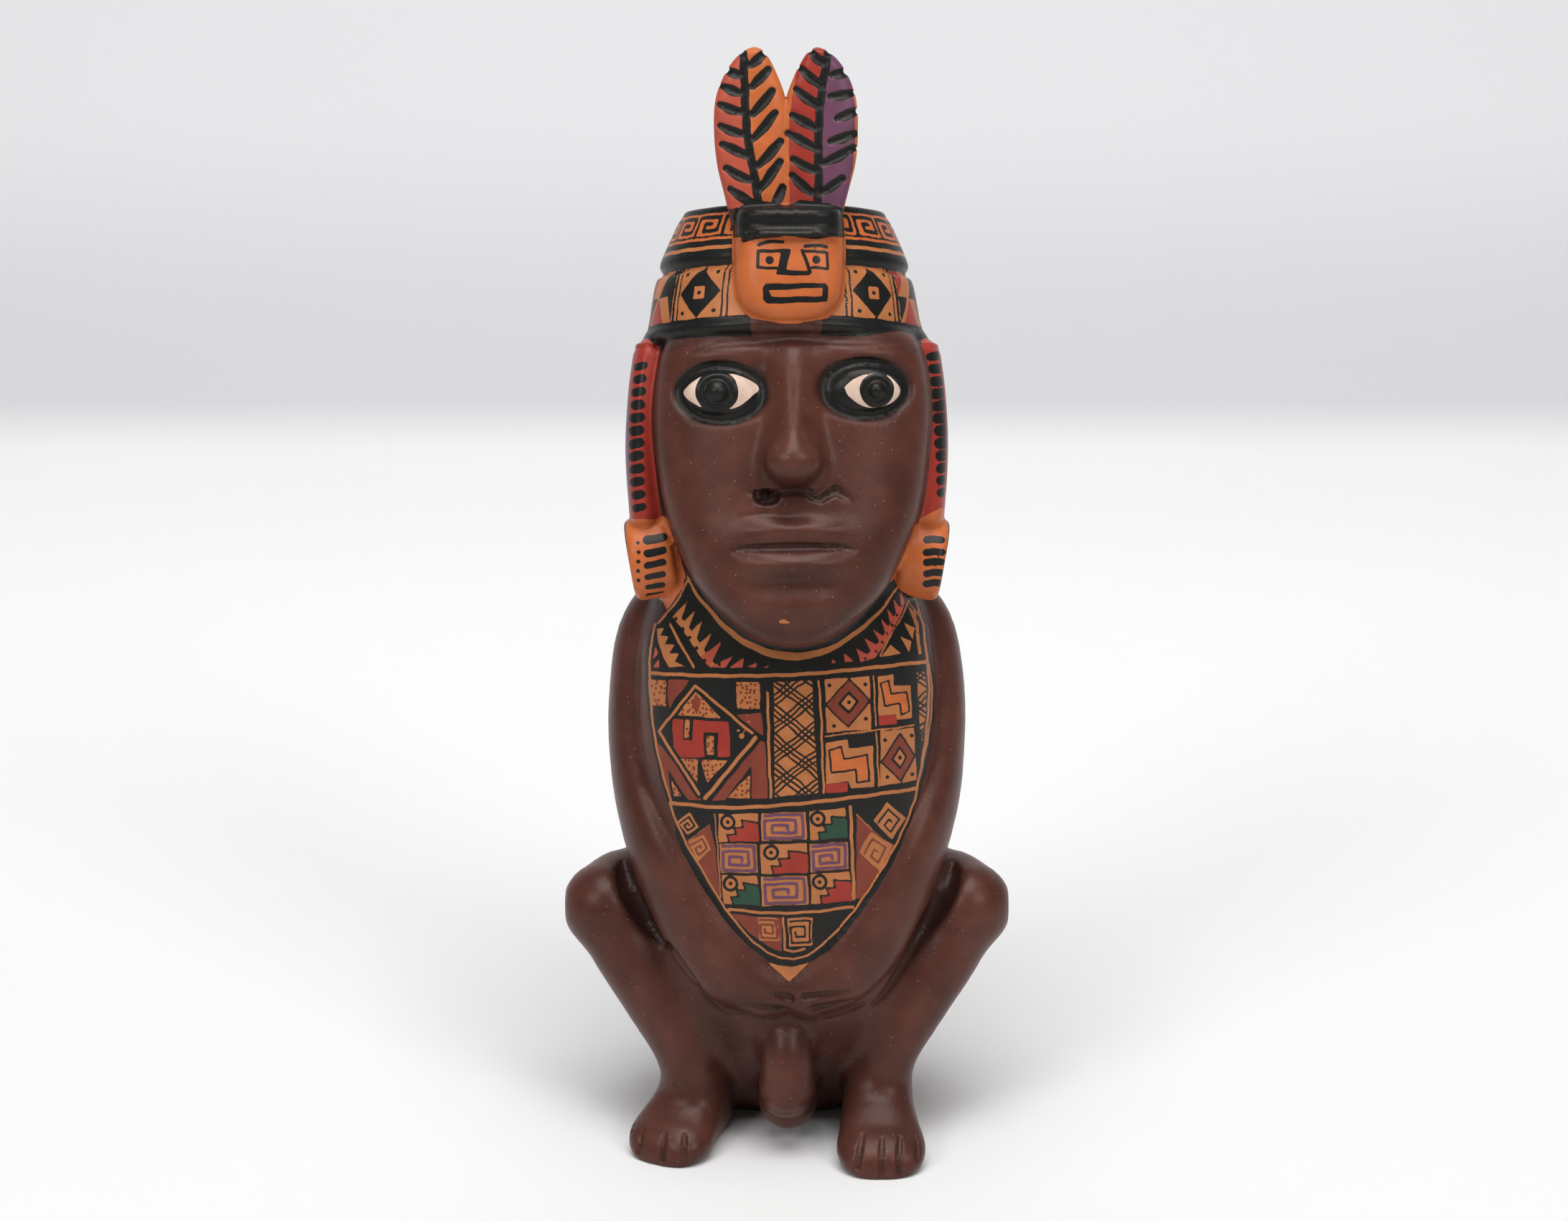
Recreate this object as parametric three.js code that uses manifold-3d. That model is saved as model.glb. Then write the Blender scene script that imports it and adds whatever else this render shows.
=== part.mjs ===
// A moulded terracotta figure, seated on its rump with knees apart and hands on the belly.
// Millimetres, +Z up, the face looks along -Y, and the origin is under the middle of its box.
// The figure is one hollow moulding, so every form below is joined into one closed solid.

import * as THREE from 'three';
import { mergeVertices } from 'three/addons/utils/BufferGeometryUtils.js';
import Module from 'manifold-3d';

const wasm = await Module();
wasm.setup();

// Driving dimensions

const LEAN_OF_HEAD = THREE.MathUtils.degToRad(14);
const NECK_POINT = new THREE.Vector3(0, -1, 114);
const WELD_DISTANCE = 0.01;

// The trunk: height, half width, and where its front and back lie
const TRUNK_ROWS = [
  [-4, 17.0, 2.0, 22.0],
  [0, 20.0, -1.0, 25.5],
  [5, 24.0, -6.0, 29.5],
  [12, 27.0, -11.5, 32.5],
  [22, 29.2, -17.5, 33.2],
  [34, 30.0, -21.2, 33.4],
  [50, 30.2, -23.2, 32.8],
  [66, 30.6, -23.6, 31.6],
  [82, 31.0, -22.4, 30.2],
  [96, 30.6, -20.4, 28.8],
  [106, 29.2, -18.6, 27.2],
  [114, 25.8, -16.6, 25.2],
  [124, 21.0, -14.0, 23.2],
];
const TRUNK_SQUARENESS = 2.35;

// The head, in its own leaning frame: height over the neck point, half width, front and back
const SKULL_ROWS = [
  [-12, 14.0, -8.0, 17.0],
  [-4, 21.0, -11.0, 21.0],
  [8, 24.6, -12.0, 22.8],
  [24, 26.2, -13.0, 23.4],
  [40, 26.4, -14.0, 23.0],
  [54, 25.4, -14.0, 21.8],
];
const FACE_CENTRE = 1.0;
const FACE_ROWS = [
  [-10.4, 3.0, -24.5, -10.0],
  [-9.2, 7.4, -26.4, -8.0],
  [-6.5, 11.4, -27.8, -6.0],
  [-2.0, 16.0, -28.6, -4.0],
  [3.0, 19.6, -28.2, -2.0],
  [9.0, 22.6, -28.0, 0.0],
  [16.0, 24.9, -26.8, 0.0],
  [25.0, 26.3, -25.8, 0.0],
  [36.0, 26.8, -24.8, 0.0],
  [46.0, 26.5, -24.0, 0.0],
  [53.0, 25.8, -22.6, 0.0],
];
const FACE_SQUARENESS = 2.5;

// The hat: a rolled rim, a lower band, a groove and an upper tier, higher over the forehead
const HAT_CENTRE = -0.5;
const HAT_ARCH = 2.0;
const HAT_ROWS = [
  [47.6, 24.0, -20.6, 20.0],
  [48.4, 26.4, -23.2, 22.0],
  [49.8, 27.1, -24.0, 22.8],
  [51.2, 26.6, -23.6, 22.4],
  [51.8, 26.9, -23.9, 22.5],
  [56.6, 26.2, -22.8, 21.3],
  [60.8, 25.2, -21.6, 20.2],
  [61.8, 23.9, -20.4, 19.0],
  [63.2, 24.5, -20.9, 19.6],
  [64.4, 24.4, -20.7, 19.3],
  [69.6, 22.2, -18.2, 17.4],
  [73.2, 20.2, -16.2, 15.8],
  [74.6, 18.2, -14.4, 14.2],
  [75.0, 12.0, -9.0, 9.0],
];
const HAT_SQUARENESS = 2.2;

// The small mask on the front of the hat, and the band of hair above it
const MASK_CENTRE = 0.4;
const MASK_ROWS = [
  [52.2, 3.6, -24.6, -14.0],
  [53.0, 6.6, -25.8, -14.0],
  [55.0, 9.0, -26.8, -14.0],
  [58.0, 10.2, -27.0, -14.0],
  [64.0, 10.5, -26.4, -12.0],
  [70.0, 10.5, -24.6, -10.0],
  [76.0, 10.2, -22.0, -10.0],
];
const HAIR_BAND_ROWS = [
  [67.9, 9.2, -25.2, -14.0],
  [68.6, 10.2, -26.6, -13.0],
  [70.2, 10.4, -26.8, -12.0],
  [73.0, 10.4, -25.0, -11.0],
  [75.4, 10.0, -22.8, -11.0],
  [76.6, 8.8, -20.8, -12.0],
];
const MASK_SQUARENESS = 3.2;

// Two feathers stand on the band, side by side, each a leaf with a rounded tip
// A feather's rows: height, how far its middle stands from the seam, and half its width
const FEATHER_SEAM = -0.2;
const FEATHER_ROWS = [
  [70.0, 5.0, 5.2],
  [76.0, 5.7, 6.0],
  [83.0, 6.5, 6.9],
  [90.0, 6.8, 7.1],
  [95.5, 6.8, 6.7],
  [99.5, 6.8, 5.3],
  [102.4, 6.6, 3.7],
  [104.4, 6.2, 1.9],
  [105.3, 6.0, 0.4],
];
const FEATHER_FRONT = -19.2;
const FEATHER_THICKNESS = 4.2;
const FEATHER_SQUARENESS = 2.6;

// Ear flaps and the round ear spools under them
const FLAP_PATH = [
  [27.4, -4.6, 45.4],
  [28.3, -5.8, 38.0],
  [28.8, -6.4, 28.0],
  [28.0, -6.8, 14.5],
];
const FLAP_HALF_THICKNESS = 3.0;
const FLAP_HALF_DEPTH = 6.6;
const SPOOL = { centre: [26.6, -5.6, 6.4], radius: 8.2, reach: 4.4, turn: 10 };
const SPOOL_RIM = { bevel: 1.4, width: 3.2, dish: 0.8 };

// Eyes, nose and mouth, in the head's frame
const EYE = { left: [-12.9, 38.6], right: [15.0, 39.1], half: [7.5, 4.4], rise: 1.9 };
const IRIS = { radius: 3.9, rise: 1.3, stand: -0.6 };
const EYE_STAND = 0.3;
const EYE_RING = { half: [8.7, 5.9], radius: 0.8, sink: -0.1 };
const NOSE_ROWS = [
  [49.0, 2.6, -23.2],
  [44.0, 2.9, -25.2],
  [36.0, 3.9, -27.4],
  [29.0, 5.2, -30.6],
  [25.2, 6.0, -32.6],
  [23.2, 6.4, -32.4],
  [20.6, 8.0, -29.6],
  [18.4, 9.2, -27.0],
];
const NOSE_ROOT = -20.0;
const NOSE_BURIED = 2.0;
const NOSE_CENTRE = 1.6;
const MOUTH = { centre: 2.0, half: 11.6, droop: 0.4 };
const LIPS = [
  { height: 13.0, half: 10.6, out: -27.9, radius: 1.25 },
  { height: 10.4, half: 11.4, out: -28.1, radius: 1.1 },
  { height: 7.2, half: 11.6, out: -28.2, radius: 1.5 },
];
const LIP_STAND = 0.35;
const LIP_TAPER = 0.45;
const NOSTRIL = { at: [-3.9, 18.2], from: [-32.0, -1.2], to: [-23.0, 2.0], radius: 1.3, taper: 0.7 };

// An arm lies on the trunk: turn from the front in degrees, height, half width and rise
const ARM_ROWS = [
  [95, 109.5, 6.4, 1.8],
  [95, 102.0, 7.8, 4.3],
  [91, 88.0, 8.2, 5.2],
  [84, 76.0, 8.2, 4.9],
  [70, 67.6, 8.0, 4.4],
  [56, 60.2, 7.9, 4.1],
  [43, 53.2, 7.9, 3.9],
  [30, 46.2, 7.6, 3.8],
  [18, 40.2, 7.0, 3.6],
  [6, 36.6, 6.2, 3.1],
];
const ARM_HALF_DEPTH = 5.0;
// The rings that close an arm: their size, and how far beyond the end in half widths
const ARM_ENDS = { shoulder: [0.6, -0.7], hand: [0.75, 0.55] };
// Where the points of an arm's section stand, in degrees; the last is buried in the trunk
const ARM_SECTION = [-28, 0, 30, 60, 90, 120, 150, 180, 208, 270];
const HAND_MIDDLE = 36.4;
const FINGER_GROOVES = {
  left: [
    [[-5.2, 36.4], [0.4, 35.4]],
    [[-8.4, 34.4], [-1.4, 33.3]],
    [[-10.6, 32.6], [-4.2, 31.5]],
  ],
  right: [
    [[3.2, 35.8], [13.0, 36.7]],
    [[5.2, 33.7], [13.8, 35.1]],
    [[7.4, 31.9], [15.4, 33.9]],
  ],
};
const FINGER_GROOVE_RADIUS = 0.7;

// Legs, on the side of positive X; the other side is their mirror
const THIGH_PATH = [
  [15.0, 19.0, 31.0, 11.0],
  [24.0, 11.6, 40.4, 10.8],
  [31.4, 3.4, 46.8, 9.8],
  [37.0, -3.6, 47.6, 8.6],
];
const SHIN_PATH = [
  [36.0, -3.4, 45.6, 7.8],
  [32.0, -6.4, 39.2, 7.8],
  [26.0, -9.2, 29.4, 7.2],
  [21.0, -11.8, 20.0, 6.2],
  [19.0, -12.4, 12.0, 6.0],
];

// A foot: length from heel to toes, half width, sole and instep heights along it
const FEET = {
  left: { heel: [-14.6, -1.6], turn: -25, length: 27.6, halfWidth: 9.0 },
  right: { heel: [17.8, -3.0], turn: 3, length: 30.3, halfWidth: 9.2 },
};
const FOOT_ROWS = [
  [0.0, 0.3, 5.0],
  [0.06, 0.5, 9.0],
  [0.2, 0.7, 14.4],
  [0.4, 0.8, 15.0],
  [0.6, 0.9, 11.4],
  [0.78, 0.98, 8.2],
  [0.9, 0.92, 6.2],
  [0.97, 0.68, 4.6],
  [1.0, 0.36, 3.0],
];
// How high the widest line of a foot lies, as a part of its height there
const FOOT_BELLY = 0.42;
// Toe grooves: their places across the foot, and how they run to the toes' round front edge
const TOE_GROOVES = [-0.62, -0.2, 0.22, 0.64];
const TOE_GROOVE = { radius: 0.7, along: [0.74, 0.88, 1], frontHeight: 1.6, frontRound: 0.16, spread: 0.4 };

const MEMBER_PATH = [
  [0.0, -16.0, 29.0, 4.4],
  [0.0, -19.4, 24.0, 5.4],
  [0.0, -20.2, 16.0, 5.7],
  [0.0, -19.4, 9.6, 5.7],
];
const SAC = { centre: [-0.4, -13.4, 8.6], half: [7.0, 7.2, 8.0] };

// Curves and skins

// A smooth curve through rows [at, ...values]: cubic pieces that share their slopes
function through(rows) {
  const slopes = rows.map((row, index) => {
    const before = rows[Math.max(index - 1, 0)];
    const after = rows[Math.min(index + 1, rows.length - 1)];
    return row.map((_, column) => (after[column] - before[column]) / (after[0] - before[0]));
  });
  return (at) => {
    let index = 0;
    while (index < rows.length - 2 && at > rows[index + 1][0]) index += 1;
    const from = rows[index];
    const to = rows[index + 1];
    const span = to[0] - from[0];
    const t = THREE.MathUtils.clamp((at - from[0]) / span, 0, 1);
    return from.slice(1).map((value, k) => {
      const a = value;
      const b = to[k + 1];
      const slopeA = slopes[index][k + 1] * span;
      const slopeB = slopes[index + 1][k + 1] * span;
      const t2 = t * t;
      const t3 = t2 * t;
      return a * (2 * t3 - 3 * t2 + 1) + slopeA * (t3 - 2 * t2 + t)
        + b * (3 * t2 - 2 * t3) + slopeB * (t3 - t2);
    });
  };
}

// Closes a stack of rings, each with the same number of points, into one skin
function skin(rings) {
  const count = rings[0].length;
  const points = rings.flat();
  const middle = (ring) => ring.reduce((sum, p) => sum.add(p), new THREE.Vector3()).divideScalar(count);
  const first = points.push(middle(rings[0])) - 1;
  const last = points.push(middle(rings[rings.length - 1])) - 1;
  const faces = [];
  for (let ring = 0; ring < rings.length - 1; ring += 1) {
    for (let k = 0; k < count; k += 1) {
      const next = (k + 1) % count;
      const a = ring * count + k;
      const b = ring * count + next;
      faces.push(a, b, b + count, a, b + count, a + count);
    }
  }
  const top = (rings.length - 1) * count;
  for (let k = 0; k < count; k += 1) {
    const next = (k + 1) % count;
    faces.push(first, next, k);
    faces.push(last, top + k, top + next);
  }
  const geometry = new THREE.BufferGeometry();
  const numbers = points.flatMap((point) => point.toArray());
  geometry.setAttribute('position', new THREE.Float32BufferAttribute(numbers, 3));
  geometry.setIndex(faces);
  return geometry;
}

// One closed oval: half width across X, different depths to the front and back
function ovalRing(centre, height, half, front, back, squareness, count) {
  const middle = (front + back) / 2;
  const depth = (back - front) / 2;
  const power = 2 / squareness;
  const bend = (value) => Math.sign(value) * Math.abs(value) ** power;
  return Array.from({ length: count }, (_, k) => {
    const angle = (2 * Math.PI * k) / count;
    const x = centre + half * bend(Math.cos(angle));
    const y = middle + depth * bend(Math.sin(angle));
    return new THREE.Vector3(x, y, height);
  });
}

// A form given by rows of ovals from bottom to top
function ovalForm(rows, heights, centre, squareness, count) {
  const curve = through(rows);
  return skin(heights.map((height) => ovalRing(centre, height, ...curve(height), squareness, count)));
}

function evenly(from, to, steps) {
  return Array.from({ length: steps + 1 }, (_, k) => from + ((to - from) * k) / steps);
}

// A round limb along a path of [x, y, z, radius], its ends rounded in a few rings
function limb(path, sides, steps, flatten = 1, capSteps = 2) {
  const points = path.map(([x, y, z]) => new THREE.Vector3(x, y, z));
  const curve = new THREE.CatmullRomCurve3(points, false, 'centripetal');
  const radius = through(path.map((point, k) => [k / (path.length - 1), point[3]]));
  const rings = [];
  const ringAt = (u, scale, shift) => {
    const centre = curve.getPoint(u);
    const along = curve.getTangent(u);
    const across = new THREE.Vector3(0, 1, 0).cross(along);
    if (across.lengthSq() < 0.01) across.set(1, 0, 0);
    across.normalize();
    const out = along.clone().cross(across).normalize();
    const size = radius(u)[0];
    centre.addScaledVector(along, shift * size);
    return Array.from({ length: sides }, (_, k) => {
      const angle = (2 * Math.PI * k) / sides;
      return centre.clone()
        .addScaledVector(across, Math.cos(angle) * size * scale)
        .addScaledVector(out, Math.sin(angle) * size * scale * flatten);
    });
  };
  for (let k = 0; k < capSteps; k += 1) {
    const angle = (Math.PI / 2) * ((k + 0.5) / capSteps);
    rings.push(ringAt(0, Math.sin(angle), -Math.cos(angle)));
  }
  for (let k = 0; k <= steps; k += 1) rings.push(ringAt(k / steps, 1, 0));
  for (let k = capSteps - 1; k >= 0; k -= 1) {
    const angle = (Math.PI / 2) * ((k + 0.5) / capSteps);
    rings.push(ringAt(1, Math.sin(angle), Math.cos(angle)));
  }
  return skin(rings);
}

function egg(centre, half, columns, rows) {
  const geometry = new THREE.SphereGeometry(1, columns, rows);
  geometry.scale(...half);
  geometry.translate(...centre);
  return geometry;
}

// Solids

function signedVolume(positions, faces) {
  let sum = 0;
  const a = new THREE.Vector3();
  const b = new THREE.Vector3();
  const c = new THREE.Vector3();
  for (let k = 0; k < faces.length; k += 3) {
    a.fromArray(positions, faces[k] * 3);
    b.fromArray(positions, faces[k + 1] * 3);
    c.fromArray(positions, faces[k + 2] * 3);
    sum += a.dot(b.cross(c));
  }
  return sum / 6;
}

// A closed three.js geometry as a solid, turned the right way out
function solid(source, placement = null) {
  const geometry = source.clone();
  geometry.deleteAttribute('normal');
  geometry.deleteAttribute('uv');
  if (placement) geometry.applyMatrix4(placement);
  const merged = mergeVertices(geometry, 1e-4);
  const vertProperties = new Float32Array(merged.attributes.position.array);
  const triVerts = new Uint32Array(merged.index.array);
  if (signedVolume(vertProperties, triVerts) < 0) {
    for (let k = 0; k < triVerts.length; k += 3) {
      [triVerts[k], triVerts[k + 1]] = [triVerts[k + 1], triVerts[k]];
    }
  }
  return new wasm.Manifold(new wasm.Mesh({ numProp: 3, vertProperties, triVerts }));
}

const MIRROR = new THREE.Matrix4().makeScale(-1, 1, 1);
const HEAD_FRAME = new THREE.Matrix4().makeRotationX(-LEAN_OF_HEAD).setPosition(NECK_POINT);

// Trunk and rump
function trunk() {
  const heights = [-3, 1, 5, 11, 19, 29, 42, 56, 70, 84, 95, 103, 109, 114, 119];
  return solid(ovalForm(TRUNK_ROWS, heights, 0, TRUNK_SQUARENESS, 30));
}

// Skull and face
function head() {
  const skull = ovalForm(SKULL_ROWS, [-11, -6, 0, 8, 20, 34, 50], 0, TRUNK_SQUARENESS, 20);
  const faceHeights = [-10.4, -9.6, -8, -5, -1, 5, 11, 18, 27, 38, 48, 52];
  const face = ovalForm(FACE_ROWS, faceHeights, FACE_CENTRE, FACE_SQUARENESS, 26);
  return solid(skull, HEAD_FRAME).add(solid(face, HEAD_FRAME));
}

// Each ring of the hat rises by the arch at the front and keeps its height at the sides and back
function hat() {
  const rimFront = Math.min(...HAT_ROWS.map((row) => row[2]));
  const rings = HAT_ROWS.map(([height, half, front, back]) => {
    const ring = ovalRing(HAT_CENTRE, height, half, front, back, HAT_SQUARENESS, 24);
    ring.forEach((point) => {
      const forward = THREE.MathUtils.clamp(point.y / rimFront, 0, 1);
      point.z += HAT_ARCH * forward * forward;
    });
    return ring;
  });
  return solid(skin(rings), HEAD_FRAME);
}

function mask() {
  const plaque = ovalForm(MASK_ROWS, [52.2, 53, 54.8, 58, 64, 71], MASK_CENTRE, MASK_SQUARENESS, 14);
  const hairHeights = [67.9, 68.7, 70.4, 73, 75.6, 76.6];
  const hair = ovalForm(HAIR_BAND_ROWS, hairHeights, MASK_CENTRE, MASK_SQUARENESS, 14);
  return solid(plaque, HEAD_FRAME).add(solid(hair, HEAD_FRAME));
}

function feathers() {
  const curve = through(FEATHER_ROWS);
  const middle = FEATHER_FRONT + FEATHER_THICKNESS / 2;
  const sides = [-1, 1].map((side) => {
    const rings = [70, 76, 84, 92, 98, 101.5, 103.6, 104.8, 105.3].map((height) => {
      const [offset, half] = curve(height);
      const thin = Math.min(FEATHER_THICKNESS / 2, half);
      const centre = FEATHER_SEAM + side * offset;
      return ovalRing(centre, height, half, middle - thin, middle + thin, FEATHER_SQUARENESS, 12);
    });
    return solid(skin(rings), HEAD_FRAME);
  });
  return sides[0].add(sides[1]);
}

// A strip that stands out in front of each ear, and a round spool under it
function ears() {
  const strip = FLAP_PATH.map((point) => [...point, FLAP_HALF_THICKNESS]);
  const flap = limb(strip, 8, 3, FLAP_HALF_DEPTH / FLAP_HALF_THICKNESS);
  const { radius, reach, centre, turn } = SPOOL;
  const { bevel, width, dish } = SPOOL_RIM;
  const profile = [
    [0, -reach], [radius, -reach], [radius, reach - bevel], [radius - bevel, reach],
    [radius - width, reach - dish], [0, reach - dish],
  ].map(([across, along]) => new THREE.Vector2(across, along));
  const drum = new THREE.LatheGeometry(profile, 14);
  drum.rotateZ(-Math.PI / 2);
  drum.rotateZ(THREE.MathUtils.degToRad(-turn));
  drum.translate(...centre);
  const sides = [HEAD_FRAME, new THREE.Matrix4().multiplyMatrices(HEAD_FRAME, MIRROR)];
  return sides
    .map((side) => solid(flap, side).add(solid(drum, side)))
    .reduce((sum, ear) => sum.add(ear));
}

// How far forward the face lies at a place across and up it
function faceDepth(x, z) {
  const [half, front, back] = through(FACE_ROWS)(z);
  const middle = (front + back) / 2;
  const across = Math.min(Math.abs(x - FACE_CENTRE) / half, 0.98);
  return middle - ((back - front) / 2) * (1 - across ** FACE_SQUARENESS) ** (1 / FACE_SQUARENESS);
}

// The turn of the face's surface about the upright axis at a place across it
function faceTurn(x, z) {
  const step = 1;
  return Math.atan2(faceDepth(x + step, z) - faceDepth(x - step, z), 2 * step);
}

function eyeRing(x, z) {
  const unitRadius = 3;
  const rings = new THREE.TorusGeometry(unitRadius, 1, 4, 18);
  const position = rings.attributes.position;
  const { half, radius, sink } = EYE_RING;
  for (let k = 0; k < position.count; k += 1) {
    const along = Math.atan2(position.getY(k), position.getX(k));
    const outward = Math.hypot(position.getX(k), position.getY(k)) - unitRadius;
    const px = x + Math.cos(along) * (half[0] + radius * outward);
    const pz = z + Math.sin(along) * (half[1] + radius * outward);
    position.setXYZ(k, px, faceDepth(px, pz) + radius * position.getZ(k) + sink, pz);
  }
  return solid(rings, HEAD_FRAME);
}

function eyeBall(x, z) {
  const place = (geometry, out) => {
    geometry.rotateZ(faceTurn(x, z));
    geometry.translate(x, faceDepth(x, z) + out, z);
    return solid(geometry, HEAD_FRAME);
  };
  const ball = new THREE.SphereGeometry(1, 12, 6);
  ball.scale(EYE.half[0], EYE.rise, EYE.half[1]);
  const iris = new THREE.SphereGeometry(1, 9, 5);
  iris.scale(IRIS.radius, IRIS.rise, IRIS.radius);
  return place(ball, EYE_STAND).add(place(iris, IRIS.stand));
}

function nose() {
  const sides = 12;
  const rings = [...NOSE_ROWS].reverse().map(([height, half, front]) => (
    Array.from({ length: sides }, (_, k) => {
      const angle = (2 * Math.PI * k) / sides;
      const depth = Math.sin(angle) > 0 ? NOSE_BURIED : NOSE_ROOT - front;
      return new THREE.Vector3(
        NOSE_CENTRE + half * Math.cos(angle),
        NOSE_ROOT + depth * Math.sin(angle),
        height,
      );
    })
  ));
  return solid(skin(rings), HEAD_FRAME);
}

function lips() {
  const ridges = LIPS.map(({ height, half, out, radius }) => {
    const sink = out - faceDepth(MOUTH.centre, height);
    const places = [-1, -0.55, 0, 0.55, 1].map((t) => {
      const x = MOUTH.centre + half * t;
      const y = faceDepth(x, height) + LIP_STAND + sink * (1 - t * t);
      return [x, y, height - MOUTH.droop * t * t, radius * (1 - LIP_TAPER * t * t)];
    });
    return solid(limb(places, 6, 4, 1, 1), HEAD_FRAME);
  });
  return ridges.reduce((sum, ridge) => sum.add(ridge));
}

function nostril() {
  const { at: [x, z], from, to, radius, taper } = NOSTRIL;
  const path = [[x, from[0], z + from[1], radius], [x, to[0], z + to[1], radius * taper]];
  return solid(limb(path, 6, 1), HEAD_FRAME);
}

// The point of the trunk's surface at a turn from the front, and the way it faces there
function trunkSurface(turn, height) {
  const [half, front, back] = through(TRUNK_ROWS)(height);
  const angle = THREE.MathUtils.degToRad(turn);
  const power = 2 / TRUNK_SQUARENESS;
  const across = Math.sin(angle) ** power;
  const forward = Math.sign(Math.cos(angle)) * Math.abs(Math.cos(angle)) ** power;
  const depth = (back - front) / 2;
  const point = new THREE.Vector3(half * across, (front + back) / 2 - depth * forward, height);
  const facing = new THREE.Vector3(
    across ** (TRUNK_SQUARENESS - 1) / half,
    -Math.sign(forward) * Math.abs(forward) ** (TRUNK_SQUARENESS - 1) / depth,
    0,
  );
  return { point, facing: facing.normalize() };
}

// An arm: ovals that stand on the trunk's surface along a line down, round and in to the hand
function arm(steps) {
  const rows = through(ARM_ROWS.map((row, k) => [k / (ARM_ROWS.length - 1), ...row]));
  const placeAt = (t) => {
    const [turn, height, halfWidth, rise] = rows(THREE.MathUtils.clamp(t, 0, 1));
    return { ...trunkSurface(turn, height), halfWidth, rise };
  };
  const step = 0.01;
  const ring = (t, scale, beyond) => {
    const { point, facing, halfWidth, rise } = placeAt(t);
    const along = placeAt(t + step).point.sub(placeAt(t - step).point).normalize();
    const across = new THREE.Vector3().crossVectors(facing, along).normalize();
    const centre = point.clone()
      .addScaledVector(facing, rise - ARM_HALF_DEPTH)
      .addScaledVector(along, halfWidth * beyond);
    return ARM_SECTION.map((degrees) => {
      const angle = THREE.MathUtils.degToRad(degrees);
      return centre.clone()
        .addScaledVector(across, Math.cos(angle) * halfWidth * scale)
        .addScaledVector(facing, Math.sin(angle) * ARM_HALF_DEPTH * scale);
    });
  };
  const rings = evenly(0, 1, steps).map((t) => ring(t, 1, 0));
  return skin([ring(0, ...ARM_ENDS.shoulder), ...rings, ring(1, ...ARM_ENDS.hand)]);
}

function arms() {
  const shape = arm(12);
  return solid(shape).add(solid(shape, MIRROR));
}

// How far forward the hands lie at a place across and up them
function handFront(x, z) {
  const [, , halfWidth, rise] = ARM_ROWS[ARM_ROWS.length - 1];
  const trunkHalf = through(TRUNK_ROWS)(z)[0];
  const turn = Math.asin((Math.abs(x) / trunkHalf) ** (TRUNK_SQUARENESS / 2));
  const off = Math.min(Math.abs(z - HAND_MIDDLE) / halfWidth, 1);
  const stand = rise - ARM_HALF_DEPTH * (1 - Math.sqrt(1 - off * off));
  return trunkSurface(THREE.MathUtils.radToDeg(turn), z).point.y - stand;
}

// Grooves between the fingers, cut along the front of the hands
function fingerGrooves() {
  const grooves = [...FINGER_GROOVES.left, ...FINGER_GROOVES.right].map(([from, to]) => {
    const places = [0, 0.5, 1].map((t) => {
      const x = THREE.MathUtils.lerp(from[0], to[0], t);
      const z = THREE.MathUtils.lerp(from[1], to[1], t);
      return [x, handFront(x, z), z, FINGER_GROOVE_RADIUS];
    });
    return solid(limb(places, 5, 2, 1, 1));
  });
  return grooves.reduce((sum, groove) => sum.add(groove));
}

function legs() {
  const thigh = limb(THIGH_PATH, 10, 4);
  const shin = limb(SHIN_PATH, 10, 4, 1, 1);
  const right = solid(thigh).add(solid(shin));
  const left = solid(thigh, MIRROR).add(solid(shin, MIRROR));
  return right.add(left);
}

// A foot along its own line, flat below, with the toes parted by grooves
function foot({ heel, turn, length, halfWidth }) {
  const curve = through(FOOT_ROWS);
  const placement = new THREE.Matrix4()
    .makeRotationZ(THREE.MathUtils.degToRad(turn))
    .setPosition(heel[0], heel[1], 0);
  const rings = [0, 0.05, 0.16, 0.32, 0.5, 0.68, 0.84, 0.94, 1].map((along) => {
    const [wide, high] = curve(along);
    return Array.from({ length: 14 }, (_, k) => {
      const angle = (2 * Math.PI * k) / 14;
      const x = halfWidth * wide * Math.sign(Math.cos(angle)) * Math.abs(Math.cos(angle)) ** 0.8;
      const z = high * (FOOT_BELLY + (1 - FOOT_BELLY) * Math.sin(angle));
      return new THREE.Vector3(x, -length * along, z);
    });
  });
  const topAt = (along, across) => {
    const [wide, high] = curve(along);
    return high * (FOOT_BELLY + (1 - FOOT_BELLY) * Math.sqrt(Math.max(1 - (across / wide) ** 2, 0)));
  };
  const { radius, frontHeight, frontRound, spread } = TOE_GROOVE;
  const grooves = TOE_GROOVES.map((across) => {
    const tip = 1 - frontRound * across * across;
    const path = TOE_GROOVE.along.map((part) => {
      const along = part * tip;
      const height = part < 1 ? topAt(along, across) : frontHeight;
      const x = halfWidth * across * (1 - spread + spread * part);
      return [x, -length * along, height, radius];
    });
    return solid(limb(path, 5, 2, 1, 1), placement);
  });
  return grooves.reduce((body, groove) => body.subtract(groove), solid(skin(rings), placement));
}

function loins() {
  return solid(limb(MEMBER_PATH, 10, 3)).add(solid(egg(SAC.centre, SAC.half, 12, 7)));
}

// The ground cuts the figure flat underneath
function aboveGround(body) {
  const width = 200;
  const depth = 60;
  const slab = new THREE.BoxGeometry(width, width, depth);
  slab.translate(0, 0, -depth / 2);
  return body.subtract(solid(slab));
}

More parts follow.
